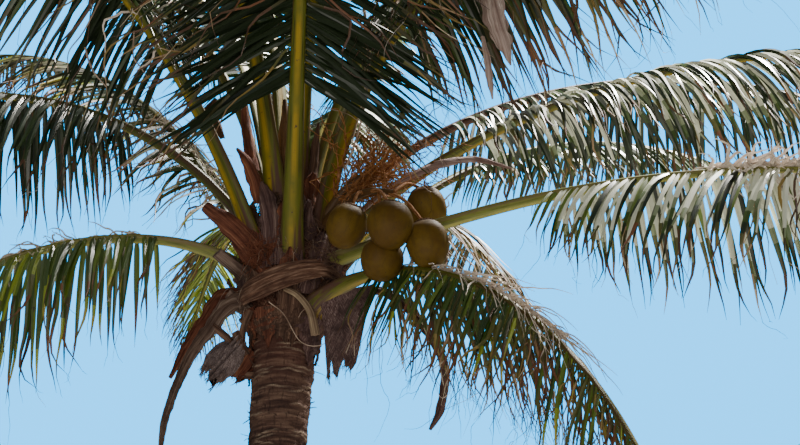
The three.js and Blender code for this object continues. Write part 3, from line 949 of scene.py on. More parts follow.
# %% Loose fibres
RED_FIBRE = plain_fibre("red_fibre", (0.09, 0.026, 0.014), (0.26, 0.10, 0.055))
BROWN_FIBRE = plain_fibre("brown_fibre", (0.05, 0.028, 0.02), (0.2, 0.12, 0.08))
PALE_FIBRE = plain_fibre("pale_fibre", (0.2, 0.13, 0.09), (0.55, 0.44, 0.34))
SKIN_THREADS = 300
HANGING_FIBRES = 70
MATS = {  # centre, half sizes and count, then length, curl and sag, then radius and finish
    "red_mat": (((0.165, -0.205, 6.035), (0.055, 0.012, 0.055), 150), (0.10, 0.55, 0.1), 0.0014, RED_FIBRE),
    "brown_mat": (((0.455, -0.215, 6.0), (0.04, 0.015, 0.06), 70), (0.09, 0.5, 0.3), 0.0013, BROWN_FIBRE),
}


def skin_threads(count, seed, steps=14):
    """Lines (count, steps, 3) that climb slantwise, a little off the skin of the heart."""
    draw = seeded(seed)
    t = shares(steps)
    turn = draw.uniform(0, 2 * np.pi, (count, 1)) + draw.normal(0, 0.35, (count, 1)) * t
    turn = turn + draw.normal(0, 0.05, (count, steps)).cumsum(1)
    foot = draw.uniform(-0.26, 0.3, (count, 1))
    up = foot + draw.uniform(0.05, 0.2, (count, 1)) * t + draw.normal(0, 0.004, (count, steps)).cumsum(1)
    arch = np.sin(np.pi * t) * draw.uniform(0.0, 0.02, (count, 1))
    return on_heart(turn, up, 0.012 + arch)


def cloud(centre, size, count, seed):
    """Starts (count, 3) on an oval ball of the given half sizes, and directions in all ways."""
    draw = seeded(seed)
    return np.array(centre) + unit(draw.normal(size=(count, 3))) * size, unit(draw.normal(size=(count, 3)))


strands("brown_threads", "fibre", skin_threads(SKIN_THREADS, seed=51), 0.0013, BROWN_FIBRE)
for number, (name, (ball, walk, radius, finish)) in enumerate(MATS.items()):
    lines = wander(*cloud(*ball, seed=52 + 2 * number), *walk, seed=53 + 2 * number, steps=12)
    strands(name, "fibre", lines, radius, finish)
hang_turn = seeded(56).uniform(0, 2 * np.pi, HANGING_FIBRES)
hang_up = seeded(57).uniform(-0.26, 0.25, HANGING_FIBRES)
hang_length = seeded(58).uniform(0.05, 0.16, HANGING_FIBRES)
starts = on_heart(hang_turn, hang_up, 0.004)
hanging = wander(starts, around(hang_turn), hang_length, curl=0.25, sag=2.5, seed=59)
strands("pale_hanging", "fibre", hanging, 0.0011, PALE_FIBRE)

# %% [markdown]
# ## Fronds
# The solids of the fronds follow a few numbers each, and the same numbers are used here, in metres: the
# compass angle, how steeply the rib leaves the heart and how it bends, its length, the share of bare
# stalk, and the length and droop of the leaflets. So the stalk and the leaflets grow where the solid
# blade lies, and no point of the solids has to be read.

# %% Frond numbers
USUAL = dict(
    bend=1.0, length=3.1, bare=0.24, stout=1.0, leaflet=0.6, start=0.12, back=0, droop=1.4, curve=1.3,
    out=0.19,
)
FRONDS = {  # turn, rise, fall and back in degrees, bare and start as shares, other lengths in metres
    "front_high": dict(
        turn=-86, rise=66, fall=5, up=0.0, length=3.3, leaflet=0.88, start=0.32, droop=0.85, curve=0.5
    ),
    "left_front_high": dict(
        turn=-144, rise=66, fall=-10, up=0.12, bend=1.2, length=3.2, bare=0.28, leaflet=0.82, droop=1.1,
        curve=0.7,
    ),
    "left_mid": dict(
        turn=168, rise=56, fall=-45, up=0.26, length=3.2, bare=0.26, leaflet=0.72, droop=2.4
    ),
    "left_low": dict(
        turn=180, rise=52, fall=-70, up=0.03, bend=0.5, bare=0.14, stout=1.2, leaflet=0.74, droop=2.4
    ),
    "back_left_low": dict(turn=104, rise=55, fall=-20, up=0.1, bend=0.8, length=2.8, leaflet=0.52),
    "right_front_low": dict(
        turn=-42, rise=42, fall=-76, up=-0.16, bend=0.42, length=2.9, bare=0.12, stout=1.4, leaflet=0.66,
        start=0.2, back=14, droop=2.6, curve=0.6,
    ),
    "right_mid": dict(
        turn=-35, rise=5, fall=-26, up=0.03, bend=1.3, length=3.3, bare=0.36, leaflet=0.61, back=24,
        droop=2.4,
    ),
    "right_upper_front": dict(
        turn=-8, rise=47, fall=-17, up=0.15, bend=0.8, length=3.4, leaflet=0.58, back=-22, droop=1.2,
        curve=1.7,
    ),
    "right_upper_back": dict(
        turn=15, rise=57, fall=-20, up=0.265, out=0.15, bend=0.8, length=3.4, leaflet=0.56
    ),
    "right_front_high": dict(
        turn=-39.5, rise=79, fall=-30, up=0.24, bend=0.95, length=3.2, bare=0.3, leaflet=0.8, droop=1.3,
        curve=0.8,
    ),
    "back_high": dict(turn=118, rise=77, fall=16, up=0.33, out=0.15, leaflet=0.56, droop=0.9),
    "back_right_low": dict(turn=61, rise=50, fall=-33, up=0.16, length=2.6, leaflet=0.48),
    "back_mid": dict(turn=80, rise=67, fall=-6, up=0.26, leaflet=0.46),
    "back_left_mid": dict(
        turn=137.5, rise=68, fall=12, up=0.0, bare=0.17, leaflet=0.46, start=0.28, droop=1.0
    ),
    "back_right_mid": dict(turn=37.5, rise=55, fall=-4, up=0.0, bare=0.37, leaflet=0.37),
    "back_right_high": dict(turn=48, rise=78, fall=16, up=0.37, out=0.13, leaflet=0.46, droop=0.9),
    "left_high": dict(turn=176, rise=78, fall=12, up=0.4, out=0.11, length=3.0, leaflet=0.48, droop=0.8),
    "front_left_high": dict(
        turn=-120, rise=80, fall=20, up=0.33, out=0.13, length=3.0, leaflet=0.5, droop=0.8
    ),
    "front_right_top": dict(
        turn=-70, rise=85, fall=40, up=0.44, out=0.09, length=2.8, leaflet=0.38, droop=0.4
    ),
    "right_top": dict(turn=0, rise=80, fall=22, up=0.43, out=0.09, length=2.9, leaflet=0.38, droop=0.6),
    "back_top": dict(turn=120, rise=86, fall=50, up=0.45, out=0.07, length=2.6, leaflet=0.4, droop=0.3),
}
print("fronds:", len(FRONDS))

# %% [markdown]
# A rib bends evenly, or most near its foot or its tip, so its slope follows a power of the way along.
# Adding up many short steps of that slope gives the line. A class keeps a frond's numbers together with
# the line, and answers for any share u of the rib where it lies, where it goes and how thick it is.

# %% Ribs
STALK_BASE = (0.060, 0.034)  # half width and half height where the stalk leaves the heart
STALK_END = (0.034, 0.023)
RIB_TIP = (0.006, 0.005)
HEART_BITE = 0.06  # how deep the feet of stalks and spear are set in the heart
RIB_STEPS = 60


class Rib:
    """The bent centre line of a frond, with its directions and sizes at any share u of its length."""

    def __init__(self, numbers):
        self.__dict__.update(USUAL | numbers)
        self.outward = around(np.radians(self.turn))
        self.leftward = around(np.radians(self.turn + 90))
        middle = (np.arange(RIB_STEPS) + 0.5) / RIB_STEPS
        steps = self.ahead(middle) * self.length / RIB_STEPS
        start = trunk_centre(HEART_HEIGHT) + self.outward * self.out + (0, 0, self.up)
        self.line = np.concatenate([[start], start + steps.cumsum(0)])

    def slope(self, u):
        """Rise in radians: from rise to fall with the power bend of u."""
        return np.radians(self.rise + (self.fall - self.rise) * np.asarray(u) ** self.bend)

    def ahead(self, u):
        """Direction along the rib, towards its tip."""
        slope = self.slope(u)[..., None]
        return self.outward * np.cos(slope) + UPWARDS * np.sin(slope)

    def above(self, u):
        """Direction square to the rib, on its upper side."""
        slope = self.slope(u)[..., None]
        return UPWARDS * np.cos(slope) - self.outward * np.sin(slope)

    def at(self, u):
        """Point on the centre line."""
        return np.stack([np.interp(u, shares(RIB_STEPS + 1), self.line[:, k]) for k in range(3)], -1)

    def size(self, u):
        """Half width and half height: the stalk narrows soon, the rib evenly to its tip."""
        u = np.asarray(u)[..., None]
        base, end, tip = np.array(STALK_BASE) * self.stout, np.array(STALK_END), np.array(RIB_TIP)
        stalk = base + (end - base) * (np.clip(u, 0, None) / self.bare) ** 0.55
        rib = end + (tip - end) * (u - self.bare) / (1 - self.bare)
        return np.where(u < self.bare, stalk, rib)


RIBS = {name: Rib(numbers) for name, numbers in FRONDS.items()}
tip_heights = [float(rib.line[-1, 2]) for rib in RIBS.values()]
print("tips up to", round(max(tip_heights), 2), "m high")

# %% [markdown]
# ### Stalks
# A stalk is broad and hollowed on top where it clasps the heart, and keeled below. It narrows towards
# the leaflets, where it becomes the rib. Its green is deep at the sides and turns to orange-yellow along
# the keel, which bleaches first. The edges are brown and papery, as is the foot.

# %% Stalk surface


def stalk_surface(rib, rows=96, columns=24):
    """One tube along a rib: keeled below, hollowed on top near the heart, with a foot that flares.

    Also gives how near each point is to an edge, from 0 on the keel to 1, and its distance from the foot.
    """
    u = shares(rows) ** 1.3
    centre = rib.at(u) - rib.ahead(u) * (np.exp(-u * 60) * HEART_BITE)[:, None]
    half_width, half_height = rib.size(u).T
    run = u[:, None] * rib.length
    flare = 1 + 0.22 * np.exp(-run / 0.08)
    turn = full_turn(columns)
    x = half_width[:, None] * flare * np.sign(np.cos(turn)) * np.abs(np.cos(turn)) ** 1.15
    y = half_height[:, None] * np.sin(turn)
    hollow = 0.9 * np.exp(-((np.cos(turn) / 0.6) ** 2)) * np.exp(-u[:, None] / 0.15)
    y = np.where(y > 0, y * (0.8 - hollow), y)
    key = np.stack([x * 8, y * 8, run + 0 * x], -1)
    x = x * (1 + 0.03 * ripple(key, 0.3, int(rib.turn) % 97))
    points = centre[:, None] + x[..., None] * rib.leftward + y[..., None] * rib.above(u)[:, None]
    run = np.broadcast_to(run, x.shape)
    edge = np.abs(np.cos(turn)) * np.ones_like(run)
    return (points[None], np.stack([x, y, run], -1)[None]), edge[None], run[None]


print("broadest stalk:", max(round(2 * float(rib.size(0.0)[0]), 3) for rib in RIBS.values()), "m")

# %% Stalk finishes
DRY_FOOT = (0.07, 0.032, 0.02)


def stalk_finish(name, keel, body, edge_colour, foot=0.36):
    """Waxy stalk: body colour with a bright keel, browner edges, lengthwise streaks and a dry foot.

    The foot's dry colour ends about as far out as its length, give or take the streaks.
    """
    stalk = Finish(name, 0.48, 0.25)
    lines = stalk.group(STREAKS, stalk.attribute("grain"), Across=42.0, Along=1.1)
    marks = stalk.group(BLOTCHES, stalk.place(), Scale=3.5)
    uneven = stalk.combine(lines["Streak"], 0.9)
    edge = stalk.combine(stalk.attribute("edge", "Fac"), uneven, "ADD")
    shaded = tuple(0.45 * c for c in body)
    sides = stalk.ramp(lines["Fine"], (0.36, shaded), (0.6, body))
    bright = stalk.mix(stalk.mask(edge, 1.05, 0.62), sides, keel)
    patchy = stalk.mix(stalk.mask(marks["Blotch"], 0.48, 0.68), bright, body)
    edged = stalk.mix(stalk.mask(edge, 1.28, 1.5), patchy, edge_colour)
    near = stalk.combine(stalk.attribute("run", "Fac"), uneven, "SUBTRACT")
    dry = stalk.mask(near, foot - 0.66, foot - 0.78)
    footed = stalk.mix(dry, edged, DRY_FOOT)
    specks = stalk.mask(marks["Speck"], 0.64, 0.72)
    stalk.colour(stalk.mix(specks, footed, edge_colour))
    stalk.relief(stalk.combine(lines["Streak"], lines["Fine"], "ADD"), 0.003, 0.5)
    return stalk.material


GREEN_STALK = stalk_finish("green_stalk", (0.28, 0.19, 0.003), (0.095, 0.105, 0.005), (0.07, 0.045, 0.015))
OLIVE_STALK = stalk_finish("olive_stalk", (0.20, 0.18, 0.015), (0.075, 0.085, 0.012), (0.06, 0.035, 0.018))
PALE_STALK = stalk_finish("pale_stalk", (0.34, 0.32, 0.06), (0.17, 0.19, 0.035), (0.16, 0.13, 0.05), 0.2)
RED_STALK = stalk_finish("red_brown_stalk", (0.15, 0.07, 0.03), (0.08, 0.033, 0.018), (0.05, 0.022, 0.014))
STALK_FINISHES = {
    "left_low": PALE_STALK, "left_mid": OLIVE_STALK, "right_mid": PALE_STALK,
    "right_front_low": GREEN_STALK, "right_upper_back": RED_STALK, "back_left_low": OLIVE_STALK,
    "back_right_low": OLIVE_STALK, "back_left_mid": OLIVE_STALK,
}

for name, rib in RIBS.items():
    shape, edge, run = stalk_surface(rib)
    finish = STALK_FINISHES.get(name, GREEN_STALK)
    blades = [f"frond_{name}_inner", f"frond_{name}_outer"]
    grained_piece(f"stalk_{name}", "frond", shape, finish, nodes=blades, edge=edge, run=run)

# %% [markdown]
# ### Leaflets
# A leaflet is a narrow blade folded along its midrib, like a tent seen from its end. It leaves the rib
# nearly square to it at the foot of the frond and points forward near the tip, then bends down under
# its own weight. All leaflets of one frond are worked out in one array. Each has four points to a ring:
# two edges, the ridge and the underside.
# Each face takes one of a few plain colours. A leaflet is green from its root to its drying point. From
# there it goes down a ladder of four colours that lie close to each other, so no step stands out.

# %% Leaf colours
LEAF_COLOURS = {  # base colour, roughness and, where it isn't the usual one, shine
    "night": ((0.010, 0.019, 0.005), 0.6, 0.2),
    "deep": ((0.009, 0.020, 0.004), 0.31),
    "dark": ((0.019, 0.040, 0.006), 0.31),
    "mid": ((0.042, 0.078, 0.009), 0.37),
    "light": ((0.10, 0.15, 0.014), 0.40),
    "lime": ((0.24, 0.30, 0.02), 0.42),
    "yellow": ((0.40, 0.34, 0.05), 0.5),
    "moss": ((0.085, 0.085, 0.015), 0.45),
    "olive": ((0.045, 0.042, 0.010), 0.45),
    # Painted highlight: this pale white-green stands for the sun's glint on the tops of arched leaflets, not
    # for the leaf's own colour.
    "painted_glint": ((0.66, 0.69, 0.54), 0.32, 1.0),
    # Painted highlight too: the glint above, fading where the leaflet bends down.
    "fading_glint": ((0.20, 0.24, 0.13), 0.34),
    "ochre": ((0.22, 0.15, 0.03), 0.55),
    "tan": ((0.30, 0.19, 0.10), 0.65),
    "straw": ((0.58, 0.49, 0.34), 0.6),
    "rust": ((0.15, 0.055, 0.02), 0.6),
    "umber": ((0.085, 0.038, 0.018), 0.6),
    "brown": ((0.05, 0.024, 0.015), 0.6),
    "dark_dry": ((0.024, 0.015, 0.012), 0.6),
}
LEAF_NUMBER = {name: number for number, name in enumerate(LEAF_COLOURS)}
LADDERS = {
    "brown": ("olive", "umber", "brown", "dark_dry"),
    "rust": ("moss", "rust", "umber", "brown"),
    "tan": ("moss", "ochre", "tan", "umber"),
    "straw": ("moss", "tan", "straw", "straw"),
    "yellow": ("lime", "yellow", "ochre", "rust"),
}
LADDER_NUMBERS = np.array([[LEAF_NUMBER[name] for name in ladder] for ladder in LADDERS.values()])
# Painted highlight going over into shade: the glint colour on an arched top, then darker greens down to deep
# green where the leaflet hangs in shade.
GLINT_FADE = np.array([LEAF_NUMBER[name] for name in ("painted_glint", "fading_glint", "mid", "deep")])


def leaf_finish(name, colour, roughness, shine=0.65):
    """A plain waxy leaf colour."""
    leaf = Finish(f"leaf_{name}", roughness, shine)
    leaf.colour(colour)
    return leaf.material


LEAF_FINISHES = [leaf_finish(name, *values) for name, values in LEAF_COLOURS.items()]
print("leaf colours:", ", ".join(LEAF_COLOURS))

# %% [markdown]
# Each frond has a mood: the greens to choose from, the share of a leaflet that has dried and how much
# that differs, the share of leaflets that are quite dead, how often each ladder is dealt out and how far
# apart the leaflets stand. A patch has dead leaflets more often, between two shares of the blade, and
# reach makes all leaflets of a frond a little longer or shorter.

# %% Frond moods
USUAL_MOOD = dict(
    greens=("dark", "mid", "mid", "light"), dry=0.2, spread=0.12, dead=0.03, spacing=0.024, width=0.0145,
    ladders=dict(brown=4, rust=3, tan=2, straw=1), patch=(0.0, 0.0, 0.0), reach=1.0,
)
NIGHT = ("night", "deep", "deep", "dark", "dark", "mid")
ALL_DRY = 1.2  # the dried share of a dead leaflet, past 1 so that it is dry from its very root
MOODS = {
    "front_high": dict(
        greens=("night", "night", "deep", "night"), dry=0.24, spread=0.14, dead=0.07, spacing=0.0125,
        width=0.0135, ladders=dict(brown=5, rust=3, tan=2, straw=1),
    ),
    "left_front_high": dict(
        greens=NIGHT, dry=0.24, spread=0.14, dead=0.06, spacing=0.0165, width=0.0125, patch=(0.2, 0.6, 0.12),
    ),
    "right_front_high": dict(
        greens=("night", "deep", "mid", "dark"), dry=0.42, spread=0.2, dead=0.18, spacing=0.0105,
        ladders=dict(brown=6, rust=4, tan=2, straw=1), reach=1.16,
    ),
    "left_mid": dict(
        greens=("night", "deep", "dark"), dry=0.3, spread=0.14, spacing=0.025, width=0.0155,
        ladders=dict(brown=6, rust=2),
    ),
    # The bright light and lime greens of this frond are partly painted light: they are the leaflets' own
    # yellow-green and also stand for sunlight shining through them from behind.
    "left_low": dict(
        greens=("mid", "mid", "light", "light", "lime"), dry=0.42, spread=0.14, spacing=0.027,
        ladders=dict(yellow=4, rust=4, brown=3),
    ),
    # The bright light and lime greens of this frond are partly painted light: they are the leaflets' own
    # yellow-green and also stand for sunlight shining through them from behind.
    "back_left_low": dict(
        greens=("light", "lime", "lime"), dry=0.5, spread=0.16, dead=0.05, spacing=0.02, width=0.012,
        ladders=dict(yellow=3, rust=4, brown=5),
    ),
    "back_left_mid": dict(
        greens=("olive", "moss", "dark"), dry=0.62, spread=0.2, dead=0.3, spacing=0.019, width=0.013,
        ladders=dict(yellow=1, rust=3, brown=4, tan=2, straw=2), reach=1.25,
    ),
    "right_front_low": dict(
        greens=("dark", "mid", "light", "moss"), dry=0.6, spread=0.2, dead=0.14, spacing=0.0145, width=0.0098,
        ladders=dict(yellow=1, rust=4, brown=4, tan=5, straw=4), patch=(0.35, 1.0, 0.65),
    ),
    # The pale glint colour among the greens of this frond and the next two is painted highlight: the sun
    # glinting on the tops of their leaflets.
    "right_mid": dict(
        greens=("painted_glint", "deep", "painted_glint", "painted_glint", "light", "painted_glint"), dry=0.34, spread=0.16,
        spacing=0.025, patch=(0.5, 0.95, 0.3), ladders=dict(brown=5, rust=2, tan=1, straw=3),
    ),
    "right_upper_front": dict(greens=("painted_glint", "deep", "painted_glint", "dark", "painted_glint"), dry=0.26, spacing=0.02),
    "right_upper_back": dict(greens=("deep", "dark", "painted_glint", "deep")),
    "back_right_low": dict(
        greens=("moss", "olive", "dark"), dry=0.66, spread=0.2, dead=0.3, width=0.0125,
        ladders=dict(straw=3, tan=3, rust=3, brown=3),
    ),
    "left_high": dict(greens=NIGHT, dead=0.06),
    "front_left_high": dict(greens=NIGHT, dead=0.06),
    "front_right_top": dict(greens=NIGHT),
    "back_high": dict(greens=NIGHT),
}


def deal_leaflets(rib, mood, draw):
    """For each leaflet its side, its share w of the blade, the share that has dried and if it is dead."""
    per_side = int(rib.length * (1 - rib.bare) / mood["spacing"])
    side = np.repeat([1.0, -1.0], per_side)
    w = (np.tile(np.arange(per_side), 2) + draw.uniform(0.1, 0.9, 2 * per_side)) / per_side
    sway = ripple(np.stack([w * 6, side * 2, 0 * w], -1), 2.0, int(draw.integers(1000)))
    dried = mood["dry"] + mood["spread"] * (sway + draw.normal(0, 0.8, len(w)))
    low, high, more = mood["patch"]
    dead = draw.random(len(w)) < mood["dead"] + more * ((w > low) & (w < high))
    return side, w, np.where(dead, ALL_DRY, np.clip(dried, 0.03, 0.9)), dead


print("moods:", len(MOODS), "and the usual one")

# %% [markdown]
# A leaflet's centre line is worked out first, as a row of steps whose direction sinks more and more. The
# blade is then laid round it: its outline, the fold along the midrib and a slow twist. Dead leaflets are
# shorter, narrower and limp, and twist more. All leaflets of a frond are worked out at once.

# %% Leaflet lines
LEAFLET_RINGS = 11
LEAFLET_STEPS = (np.arange(LEAFLET_RINGS - 1) + 0.5) / (LEAFLET_RINGS - 1)  # the middle of each step
LEAFLET_HALF_THICK = 0.001
DEAD_LENGTH = 0.85  # a dead leaflet's length, droop and width, as shares of a live one's
DEAD_DROOP = 1.6
DEAD_WIDTH = 0.6


def length_share(rib, w):
    """Length of a leaflet at share w of the blade, as a share of the longest: a flattened sine arch."""
    return np.maximum(0.16, np.sin(np.pi * (rib.start + (0.95 - rib.start) * w**0.85)) ** 0.7)


def leaflet_lines(rib, longest, side, w, dried, dead, draw):
    """Centre lines (count, rings, 3) of the leaflets, and the rib's direction at each root.

    A direction starts as ahead times cos(a) plus sideways times sin(a), with a falling from 88 to 26
    degrees along the frond (plus the degrees that it leans back), and is pulled down at share t by droop
    times (1 + curve (t - 0.5)). Where a leaflet has dried it wavers, first one way and then the other.
    """
    count = len(w)
    u = rib.bare + (1 - rib.bare) * w
    ahead, above = rib.ahead(u), rib.above(u)
    sideways = rib.leftward * side[:, None]
    half_width, half_height = rib.size(u).T
    root = rib.at(u) + sideways * half_width[:, None] * 0.7 + above * half_height[:, None] * 0.35
    angle = np.radians(88 + rib.back - 62 * w**1.3 + draw.normal(0, 5, count))
    lift = draw.normal(0.05, 0.09, count)
    start = unit(
        ahead * np.cos(angle)[:, None] + sideways * np.sin(angle)[:, None] + above * lift[:, None]
    )
    vary = draw.uniform(0.84, 1.05, count)
    reach = longest * length_share(rib, w) * vary * np.where(dead, DEAD_LENGTH, 1.0)
    droop = rib.droop * draw.uniform(0.72, 1.28, count) * np.where(dead, DEAD_DROOP, 1.0)
    t = LEAFLET_STEPS
    pull = droop[:, None] * (1 + rib.curve * (t - 0.5))
    way = unit(start[:, None] - pull[..., None] * UPWARDS)
    dryness = np.clip(t + dried[:, None] - 1, 0, 0.5)
    for direction, speed in ((ahead, 7.0), (sideways, 11.0)):
        wave = draw.normal(0, 1, (count, 1)) * np.sin(t * speed + draw.uniform(0, 6, (count, 1)))
        way = way + (wave * (0.12 * t**2 + 0.9 * dryness))[..., None] * direction[:, None]
    steps = unit(way) * (reach / (LEAFLET_RINGS - 1))[:, None, None]
    return np.concatenate([root[:, None], root[:, None] + steps.cumsum(1)], axis=1), ahead


print("steps along a leaflet:", len(LEAFLET_STEPS))

# %% Leaflet blades


def leaflet_tubes(rib, longest, half_width, side, w, dried, dead, draw):
    """Tubes (count, rings, 4, 3) of all leaflets of a frond.

    The half width is full from a tenth of the length to a third and then falls to a tip like a hair. The
    edges lie behind the ridge by a share of it, and the face turns slowly from root to tip.
    """
    count = len(w)
    line, ahead = leaflet_lines(rib, longest, side, w, dried, dead, draw)
    t = shares(LEAFLET_RINGS)
    going = unit(np.gradient(line, axis=1))
    broad = unit(ahead[:, None] - (ahead[:, None] * going).sum(-1, keepdims=True) * going)
    face = np.cross(broad, going) * side[:, None, None]
    twist = draw.normal(0, 0.22, (count, 1)) + draw.normal(0, 0.5, (count, 1)) * t
    twist = (twist + np.where(dead, draw.normal(0, 2.0, count), 0)[:, None] * t)[..., None]
    broad, face = broad * np.cos(twist) + face * np.sin(twist), face * np.cos(twist) - broad * np.sin(twist)
    wide = half_width * draw.uniform(0.8, 1.12, count) * length_share(rib, w) ** 0.35
    wide = wide * np.where(dead, DEAD_WIDTH, 1.0)
    outline = (0.4 + 0.6 * np.clip(t / 0.1, 0, 1)) * (1 - 0.95 * np.clip((t - 0.33) / 0.67, 0, 1) ** 1.35)
    shrunk = 1 - 0.5 * np.clip(t + dried[:, None] - 1, 0, 0.5)
    half = (wide[:, None] * outline * shrunk)[..., None]
    fold = face * half * (0.6 - 0.3 * t)[:, None]
    rear = face * LEAFLET_HALF_THICK
    edges = line + broad * half - fold, line - broad * half - fold
    return np.stack([edges[0], line + rear, edges[1], line - rear], axis=2)


print("leaflet:", LEAFLET_RINGS, "rings of 4 points")

# %% Leaflet colours


def leaflet_bands(mood, side, w, dried, draw):
    """Colour numbers (count, rings - 1, 4): a green down to the drying point, then a ladder of colours.

    Columns 0 and 3 are one half of the leaflet, 1 and 2 the other, which has a green of its own and
    dries a little sooner or later. The pale glint colour is painted highlight: it stands for the sun's
    glint on the top of an arched leaflet, and goes over through darker greens to deep green where the
    leaflet hangs in shade.
    """
    count = len(w)
    greens = np.array([LEAF_NUMBER[name] for name in mood["greens"]])
    sway = ripple(np.stack([w * 5, side * 3, 0 * w], -1), 2.2, int(draw.integers(1000)))
    pick = (np.clip(0.5 + 0.5 * sway + draw.normal(0, 0.25, count), 0, 0.999) * len(greens)).astype(int)
    other = np.clip(pick + draw.integers(-1, 2, count), 0, len(greens) - 1)
    chances = np.array([mood["ladders"].get(name, 0) for name in LADDERS], dtype=float)
    ladder = LADDER_NUMBERS[draw.choice(len(LADDERS), count, p=chances / chances.sum())]
    t = LEAFLET_STEPS
    lag = draw.normal(0, 0.05, count)
    # Painted highlight: where an arched leaflet's top ends and it hangs in shade, its glint colour steps down
    # to darker greens.
    arch_end = draw.normal(0.46, 0.14, (count, 1))
    hangs = np.clip(np.floor((t - arch_end) / 0.1) + 1, 0, len(GLINT_FADE) - 1).astype(int)
    bands = []
    for half_green, shift in ((pick, 0), (other, lag), (other, lag), (pick, 0)):
        table = np.concatenate([greens[half_green][:, None], ladder], axis=1)
        past = (t + (dried - 1 + shift)[:, None]) / np.maximum(dried / 3.2, 0.07)[:, None]
        level = np.clip(np.floor(past) + 1, 0, 4).astype(int)
        band = np.take_along_axis(table, level, axis=1)
        bands.append(np.where(band == LEAF_NUMBER["painted_glint"], GLINT_FADE[hangs], band))
    return np.stack(bands, axis=2)


print("ladders of dry colours:", ", ".join(LADDERS))

# %% [markdown]
# Now each frond gets its leaflets, in one piece for each frond. Every frond draws from a generator of its
# own, so changing one frond's mood leaves the others as they are. The last rings of the leaflets are kept
# as tips, because the threads of the next step grow from them.

# %% All leaflets
total = 0
tips = {}
for number, (name, rib) in enumerate(RIBS.items()):
    mood = USUAL_MOOD | MOODS.get(name, {})
    draw = seeded(100 + number)
    side, w, dried, dead = deal_leaflets(rib, mood, draw)
    tubes = leaflet_tubes(rib, rib.leaflet * mood["reach"], mood["width"], side, w, dried, dead, draw)
    tips[name] = tubes.mean(2)[:, [-3, -1]]
    bands = leaflet_bands(mood, side, w, dried, draw)
    keep(make_tubes(f"leaflets_{name}", tubes, LEAF_FINISHES, bands=bands, crease=20.0), "frond")
    total += len(tubes)
print("leaflets:", total)

# %% [markdown]
# A leaflet's own tip often frays into a thread that curls as it dries. Nearly half of the leaflets of the
# fronds that are seen best get such a thread, brown or pale. Here and there a leaflet has dried on top of
# the rib, and lies there as a tangle of pale curled strips.

# %% Tip threads
BROWN_THREAD = plain_fibre("brown_thread", (0.03, 0.016, 0.012), (0.13, 0.07, 0.045))
STRAW_THREAD = plain_fibre("straw_thread", (0.4, 0.31, 0.24), (0.8, 0.74, 0.66), 0.7)
THREADED = (
    "front_high", "left_front_high", "right_front_high", "left_mid", "right_mid", "right_front_low",
    "left_low",
)


def tip_threads(share, length, seed):
    """Lines of threads that go on from the tips of a share of the leaflets, for the threaded fronds."""
    draw = seeded(seed)
    ends = np.concatenate([tips[name] for name in THREADED])
    ends = ends[draw.random(len(ends)) < share]
    ways = unit(ends[:, 1] - ends[:, 0])
    lengths = length * draw.gamma(3.0, 0.33, len(ends))
    return wander(ends[:, 1] - ways * 0.004, ways, lengths, 0.3, 0.7, seed + 1, 8)


brown_lines = tip_threads(share=0.34, length=0.09, seed=110)
strands("brown_tip_threads", "frond", brown_lines, 0.0011, BROWN_THREAD, columns=3)
straw_lines = tip_threads(share=0.12, length=0.08, seed=112)
strands("straw_tip_threads", "frond", straw_lines, 0.0012, STRAW_THREAD, columns=3)

# %% Dry strips on the ribs
TANGLES = {  # frond, from and to which share of the rib, count, length, how much it curls, half width
    "right_mid": (0.58, 0.80, 130, 0.22, 0.36, 0.0075),
    "right_front_low": (0.16, 0.52, 110, 0.32, 0.13, 0.0042),
    "back_right_low": (0.25, 0.6, 60, 0.24, 0.3, 0.005),
    "front_high": (0.45, 0.8, 32, 0.4, 0.12, 0.006),
    "left_front_high": (0.28, 0.50, 26, 0.30, 0.30, 0.006),
    "left_mid": (0.45, 0.75, 40, 0.16, 0.25, 0.006),
    "left_low": (0.16, 0.36, 60, 0.15, 0.32, 0.006),
    "right_upper_front": (0.85, 0.98, 30, 0.2, 0.35, 0.0075),
    "back_left_low": (0.3, 0.6, 26, 0.2, 0.3, 0.005),
    "back_left_mid": (0.18, 0.40, 40, 0.24, 0.3, 0.005),
}
STRIP_STEPS = 13
STRIP_HALF_THICK = 0.0012


def tangle(rib, low, high, count, length, curl, half_width, seed):
    """Flat strips that start on top of a rib and wander outwards and down."""
    draw = seeded(seed)
    u = draw.uniform(low, high, count)
    side = draw.choice([-1.0, 1.0], (count, 1))
    starts = rib.at(u) + rib.above(u) * 0.015
    lift = rib.above(u) * draw.uniform(0.0, 0.6, (count, 1))
    ways = unit(rib.ahead(u) + rib.leftward * side * draw.uniform(0.2, 1.0, (count, 1)) + lift)
    lines = wander(starts, ways, length * draw.uniform(0.5, 1.2, count), curl, 1.3, seed + 1, STRIP_STEPS)
    taper = 1 - 0.8 * shares(STRIP_STEPS + 1) ** 2
    return swept(lines, half_width * taper, STRIP_HALF_THICK * taper, 4, side=(0.4, 0.5, 0.76))


strips = joined(tangle(RIBS[name], *row, 130 + 2 * n) for n, (name, row) in enumerate(TANGLES.items()))
grained_piece("dry_strips", "frond", strips, STRAW_THREAD)

# %% [markdown]
# ## Spear leaf
# The youngest frond stands in the middle of the crown, still folded shut like a fan. It is a tube whose
# section has pleats, which grow shallow towards the tip.

# %% Spear leaf
SPEAR_LENGTH = 2.1
SPEAR_LEAN = 0.04
SPEAR_HALF = (0.034, 0.026)  # half width and half height at its foot
SPEAR_PLEATS = 12


